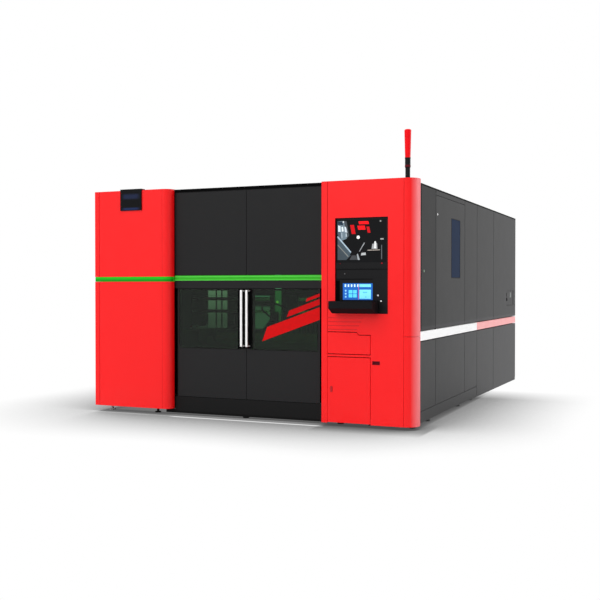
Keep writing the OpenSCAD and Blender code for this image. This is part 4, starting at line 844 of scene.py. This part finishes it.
(_, wall_y0, _), (_, wall_y1, wall_top) = in_source(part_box("right_side_panels"))
edging = rectangles([[wall_y0 + 0.5, wall_top - 15, wall_y1 - 0.5, wall_top - 0.2],
                     [wall_y0 + 0.5, 860, wall_y0 + 26, wall_top - 15.5]])
wall_plates("wall_edging", edging, SIDE_X + 0.6, SIDE_X + 0.02, finishes["black_film"])
floor_lip = [[[1200, 50], [wall_y1 - 3, 12], [wall_y1 - 3, 56], [1200, 56]]]
wall_plates("rear_floor_lip", floor_lip, SIDE_X - 1.2, SIDE_X - 3.2, wall_coat)
(cap_x0, cap_y, _), (cap_x1, _, cap_top) = in_source(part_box("centre_cap"))
cap_lip = rectangles([[cap_x0 + 1, cap_top - 16, cap_x1 - 1, cap_top + 12.5]])
black_plates("centre_cap_lip", cap_lip, cap_y - 0.9, cap_y - 0.05)
label_coat = powder_coat("blank_label_coat", (0.22, 0.24, 0.23), 0.5, specular=0.2)
label = rectangles([[4386, 1104, 4480, 1168]])
wall_plates("recess_blank_label", label, 1640.2, 1639.1, label_coat)
print("wall from y", round(wall_y0), "to", round(wall_y1), "and up to", round(wall_top))

# %% [markdown]
# ## Turned parts
# Screws, the side door's lock and the lamp's ring are turned: a profile of radius
# against height, carried round a centre.

# %% Turned parts


def turned(profile, centre, axis, steps):
    """A profile (radius, height) turned round an axis: centre + r (cos a, sin a) + height along the axis."""
    profile = np.asarray(profile, float)
    a = np.linspace(0, 2 * math.pi, steps, endpoint=False)
    r, h = profile[:, :1], np.broadcast_to(profile[:, 1:], (len(profile), steps))
    first, second = r * np.cos(a), r * np.sin(a)
    spans = {"x": (h, first, second), "y": (first, h, second), "z": (first, second, h)}[axis]
    return np.stack(spans, -1) + np.asarray(centre, float)


def turned_set(name, profile, centres, axis, finish, body, steps):
    """The same turned shape at several centres, in one piece."""
    cloud = np.stack([turned(profile, centre, axis, steps) for centre in centres])
    rows = cloud.shape[1]
    faces = repeated(grid_faces(rows, steps, False, True), rows * steps, len(centres))
    points = at(*cloud.reshape(-1, 3).T)
    return piece(name, points, faces, finish, body, True)


CAM_LOCK = [[0, -0.4], [11, -0.4], [11.4, 0.6], [10.4, 1.9], [8, 2.2], [7.4, 1.5], [3, 1.5],
            [2.4, 0.5], [0, 0.5]]
LENS = [[0, -0.4], [12, -0.4], [12, 1.5], [8, 3], [0, 3.4]]
RING = [[20, 0], [24.8, 0], [25.4, 2], [25.4, 15], [24.8, 17], [20, 17]]
lamp_x, lamp_y, _ = in_source(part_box("lamp_base")).mean(0)
turned_set("service_cam_locks", CAM_LOCK, [(SIDE_X, 711, 1913)], "x",
           finishes["stainless"], "service", 32)
turned_set("side_panel_lens", LENS, [(SIDE_X, 250, 1381)], "x",
           finishes["pale_green_lens"], "machine", 24)
turned_set("lamp_ring", RING, [(lamp_x, lamp_y, 2277)], "z", port_coat, "machine", 40)

SCREW = [[0, -0.3], [9.5, -0.3], [9.5, 1.2], [8.6, 2.6], [5, 3.4], [0, 3.6]]
mirrored_screw = [[r, -h] for r, h in SCREW]
screw_z = (110, 780, 1450, 2085)
left_spots = [(-SIDE_X, y, z) for y in (205, 605, 695, 1755, 1845, 2335, 2425, 4655) for z in screw_z]
rear_spots = [(x, wall_y1, z) for x in (-1590, -585, -495, 495, 585, 1590) for z in screw_z]
roof_spots = [(x, y, wall_top) for x in (-1600, 1600) for y in (205, 605, 695, 1755, 1845, 4640)]
for name, profile, spots, axis in (("left_panel_screws", mirrored_screw, left_spots, "x"),
                                   ("rear_panel_screws", SCREW, rear_spots, "y"),
                                   ("roof_panel_screws", SCREW, roof_spots, "z")):
    turned_set(name, profile, spots, axis, finishes["zinc"], "machine", 12)
print("a cam lock, a lens, a ring and", len(left_spots + rear_spots + roof_spots), "panel screws")

# %% [markdown]
# ## Inside the chamber
# Through the panes one sees little: the lit edge and apron of the gantry beam, light
# in narrow bars at its left end, and a small lamp on the Z housing. Two light strips
# hang under the roof. The light fades downwards, so these finishes read the height.

# %% Inside the chamber
STRIP_WIDTH, STRIP_Z = 46, 2020
BEAM_FRONT, BEAM_LOW, BEAM_HIGH = 990.0, 950.0, 1150.0


def capsule_strip(name, x, y0, y1, finish):
    """A long strip with a half-round underside: across is width cos, down is width sin."""
    angle = np.linspace(0, math.pi, 9)
    across = x + STRIP_WIDTH / 2 * np.cos(angle)
    down = STRIP_Z - STRIP_WIDTH / 2 * np.sin(angle)
    points = at(across[None], np.linspace(y0, y1, 12)[:, None], down[None])
    return piece(name, points, grid_faces(12, 9, False, True), finish, "machine", True)


def beam_plates(name, outlines, front, back, finish):
    front, back = BEAM_FRONT + front, BEAM_FRONT + back
    return plates(name, outlines, NO_INK, front, back, finish, "gantry")


strip_glow = glowing("light_strip_diffuser", (0.8, 0.85, 0.82), (0.85, 1.0, 0.9), 0.05)
for side, name in ((-1, "left_light_strip"), (1, "right_light_strip")):
    capsule_strip(name, side * 1180, 700, 4300, strip_glow)
edge_coat = powder_coat("lit_edge_coat", (0.05, 0.055, 0.05), 0.5)
lit(edge_coat, height_above_floor(edge_coat.node_tree, 1.0, 1.1), (0.15, 0.36, 0.29))
edge = rectangles([[-560, BEAM_HIGH - 12, -60, BEAM_HIGH - 1]])
beam_plates("beam_edge_strip", edge, -1.5, -0.05, edge_coat)
apron = [[[-600, 806], [-272, 806], [-160, BEAM_LOW - 0.5], [-600, BEAM_LOW - 0.5]]]
beam_plates("beam_apron", apron, 1, 3, lit_by_panels("lit_apron_coat"))
bar_columns = ((-919, -830), (-813, -764), (-746, -690))
bar_rows = ((806, 949.5), (951, 968), (1002, 1098), (1132, 1148.5), (1150.5, 1218))
light_bars = rectangles([[x0, z0, x1, z1] for x0, x1 in bar_columns for z0, z1 in bar_rows])
bar_coat = powder_coat("light_bar_coat", (0.006, 0.006, 0.006), 0.6, specular=0.02)
lit(bar_coat, fading(bar_coat.node_tree, "Z", 0.3, 1.0, 0.9, 1.2), (0.40, 0.42, 0.42))
beam_plates("gantry_light_bars", light_bars, -1.4, -0.1, bar_coat)
LAMP_DOT = [[0, 0.5], [13, 0.5], [13, -2], [9, -5], [0, -6]]
green_glow = glowing("housing_lamp", (0.2, 0.6, 0.1), (0.5, 1.0, 0.2), 0.9)
turned_set("housing_lamp", LAMP_DOT, [(-24, 810, 1089)], "y", green_glow, "carriage_body", 24)
print(len(light_bars), "light bars")

# %% [markdown]
# ## Floor and studio
# The floor is white and takes the machine's soft shadow, painted from how much of the
# room each spot sees; far from the machine it fades into the white background. A rim
# of painted light lies below the doors, and painted shadow makes the floor darkest at
# the foot of the red column. What the camera and reflections see is set with Light
# Path, so the background stays white without more light on the paint.

# %% Floor


def seen_directly(tree):
    """1 for camera, glossy and transmission rays, 0 for diffuse light."""
    rays = tree.nodes.new("ShaderNodeLightPath").outputs
    camera_or_glossy = reckoned(tree, "MAXIMUM", rays["Is Camera Ray"], rays["Is Glossy Ray"])
    return reckoned(tree, "MAXIMUM", camera_or_glossy, rays["Is Transmission Ray"])


def either(tree, for_light, for_sight):
    """One shader where light spreads, another for what is seen directly."""
    choice = tree.nodes.new("ShaderNodeMixShader")
    sources = (seen_directly(tree), for_light.outputs[0], for_sight.outputs[0])
    for socket, value in zip(choice.inputs, sources):
        tree.links.new(value, socket)
    return choice.outputs[0]


def ringed(tree, centre, half, radius):
    """Distance from a rounded rectangle: length of max(|p - centre| - half, 0), less the radius."""
    squares = []
    for axis, middle, reach in zip("XY", centre, half):
        offset = reckoned(tree, "ABSOLUTE", reckoned(tree, "SUBTRACT", along(tree, axis), middle))
        beyond = reckoned(tree, "MAXIMUM", reckoned(tree, "SUBTRACT", offset, reach))
        squares.append(reckoned(tree, "POWER", beyond, 2.0))
    length = reckoned(tree, "SQRT", reckoned(tree, "ADD", *squares))
    return reckoned(tree, "ABSOLUTE", reckoned(tree, "SUBTRACT", length, radius))


def floor_shade(tree):
    """Painted shade where a spot sees less of the room, with painted shadow at the column's foot, a rim of
    painted light and the lit side.
    """
    open_air = tree.nodes.new("ShaderNodeAmbientOcclusion")
    open_air.samples = 16
    tree.links.new(fading(tree, "X", 1.5, 1.25, 1.5, 2.0), open_air.inputs["Distance"])
    ramp = tree.nodes.new("ShaderNodeValToRGB")
    ramp.color_ramp.elements[0].color = (0.08, 0.08, 0.08, 1)
    middle = ramp.color_ramp.elements.new(0.5)
    middle.color = (0.24, 0.24, 0.24, 1)
    tree.links.new(open_air.outputs["AO"], ramp.inputs["Fac"])
    # Painted shadow at the foot of the red column.
    foot = product(tree, between(tree, "X", 0.78, 1.75, 0.03), fading(tree, "Y", 0, 0.48, -2.58, -2.31))
    foot = product(tree, foot, fading(tree, "Y", 1, 0, -2.2, -1.8))
    shade = mixed(tree, foot, ramp.outputs["Color"], (0.04, 0.04, 0.04))
    # Painted light: a pale rim just in front of the doors.
    rim = remap(tree, ringed(tree, (0.0125, 0.17), (1.4575, 2.32), 0.145), 1, 0, 0.012, 0.03)
    rim = product(tree, rim, fading(tree, "Y", 1, 0, -2.2, -2.05))
    rim = product(tree, rim, between(tree, "X", -0.72, 0.74, 0.08))
    shade = mixed(tree, rim, shade, (0.8, 0.8, 0.8))
    lit_side = product(tree, fading(tree, "X", 0, 1, 0.9, 1.6), fading(tree, "Y", 0, 1, 0.3, 1.15))
    return mixed(tree, lit_side, shade, (1, 1, 1))


def floor_finish():
    """What the camera sees is the shade; light itself meets plain white."""
    made = bpy.data.materials.new("white_studio_floor")
    made.use_nodes = True
    tree = made.node_tree
    tree.nodes.clear()
    output = tree.nodes.new("ShaderNodeOutputMaterial")
    plain = tree.nodes.new("ShaderNodeBsdfDiffuse")
    plain.inputs["Color"].default_value = (0.74, 0.74, 0.74, 1)
    seen = tree.nodes.new("ShaderNodeEmission")
    seen.inputs["Strength"].default_value = 1.0
    tree.links.new(floor_shade(tree), seen.inputs["Color"])
    tree.links.new(either(tree, plain, seen), output.inputs["Surface"])
    return made


FLOOR_REACH = 90.0
steps = np.linspace(-FLOOR_REACH, FLOOR_REACH, 5)
floor_x, floor_y = np.meshgrid(steps, steps, indexing="ij")
floor_points = np.stack([floor_x, floor_y, 0 * floor_x], -1).reshape(-1, 3)
floor_mesh = bpy.data.meshes.new("floor")
floor_mesh.from_pydata(floor_points.tolist(), [], grid_faces(5, 5).tolist())
floor = bpy.data.objects.new("floor", floor_mesh)
floor.data.materials.append(floor_finish())
bpy.context.scene.collection.objects.link(floor)
print("floor reaches", FLOOR_REACH, "m")

# %% [markdown]
# ## Light
# Three broad suns and a white sky give an even light, at which a colour renders
# about as it is written. The suns are wide, so that shadows stay soft from every
# side.

# %% Light
SKY_LIGHT = 0.62


def sun(name, turn, height, strength, width):
    """A sun at an azimuth and a height, with the width of its disc, all in degrees."""
    lamp = bpy.data.lights.new(name, "SUN")
    lamp.energy = strength
    lamp.angle = math.radians(width)
    made = bpy.data.objects.new(name, lamp)
    made.rotation_mode = "QUATERNION"
    made.rotation_quaternion = towards(turn, height).to_track_quat("Z", "Y")
    bpy.context.scene.collection.objects.link(made)


def white_background(tree, strength):
    made = tree.nodes.new("ShaderNodeBackground")
    made.inputs["Color"].default_value = (1, 1, 1, 1)
    made.inputs["Strength"].default_value = strength
    return made


sun("front_sun", -20, 38, 1.5, 50)
sun("side_sun", 122, 16, 0.8, 40)
sun("rear_sun", 215, 45, 0.8, 60)

world = bpy.data.worlds.new("white_studio")
bpy.context.scene.world = world
world.use_nodes = True
sky = world.node_tree
sky.nodes.clear()
sky_out = sky.nodes.new("ShaderNodeOutputWorld")
sky_choice = either(sky, white_background(sky, SKY_LIGHT), white_background(sky, 1.0))
sky.links.new(sky_choice, sky_out.inputs["Surface"])
bpy.context.scene.view_settings.view_transform = "Standard"
print("three suns and a white sky")
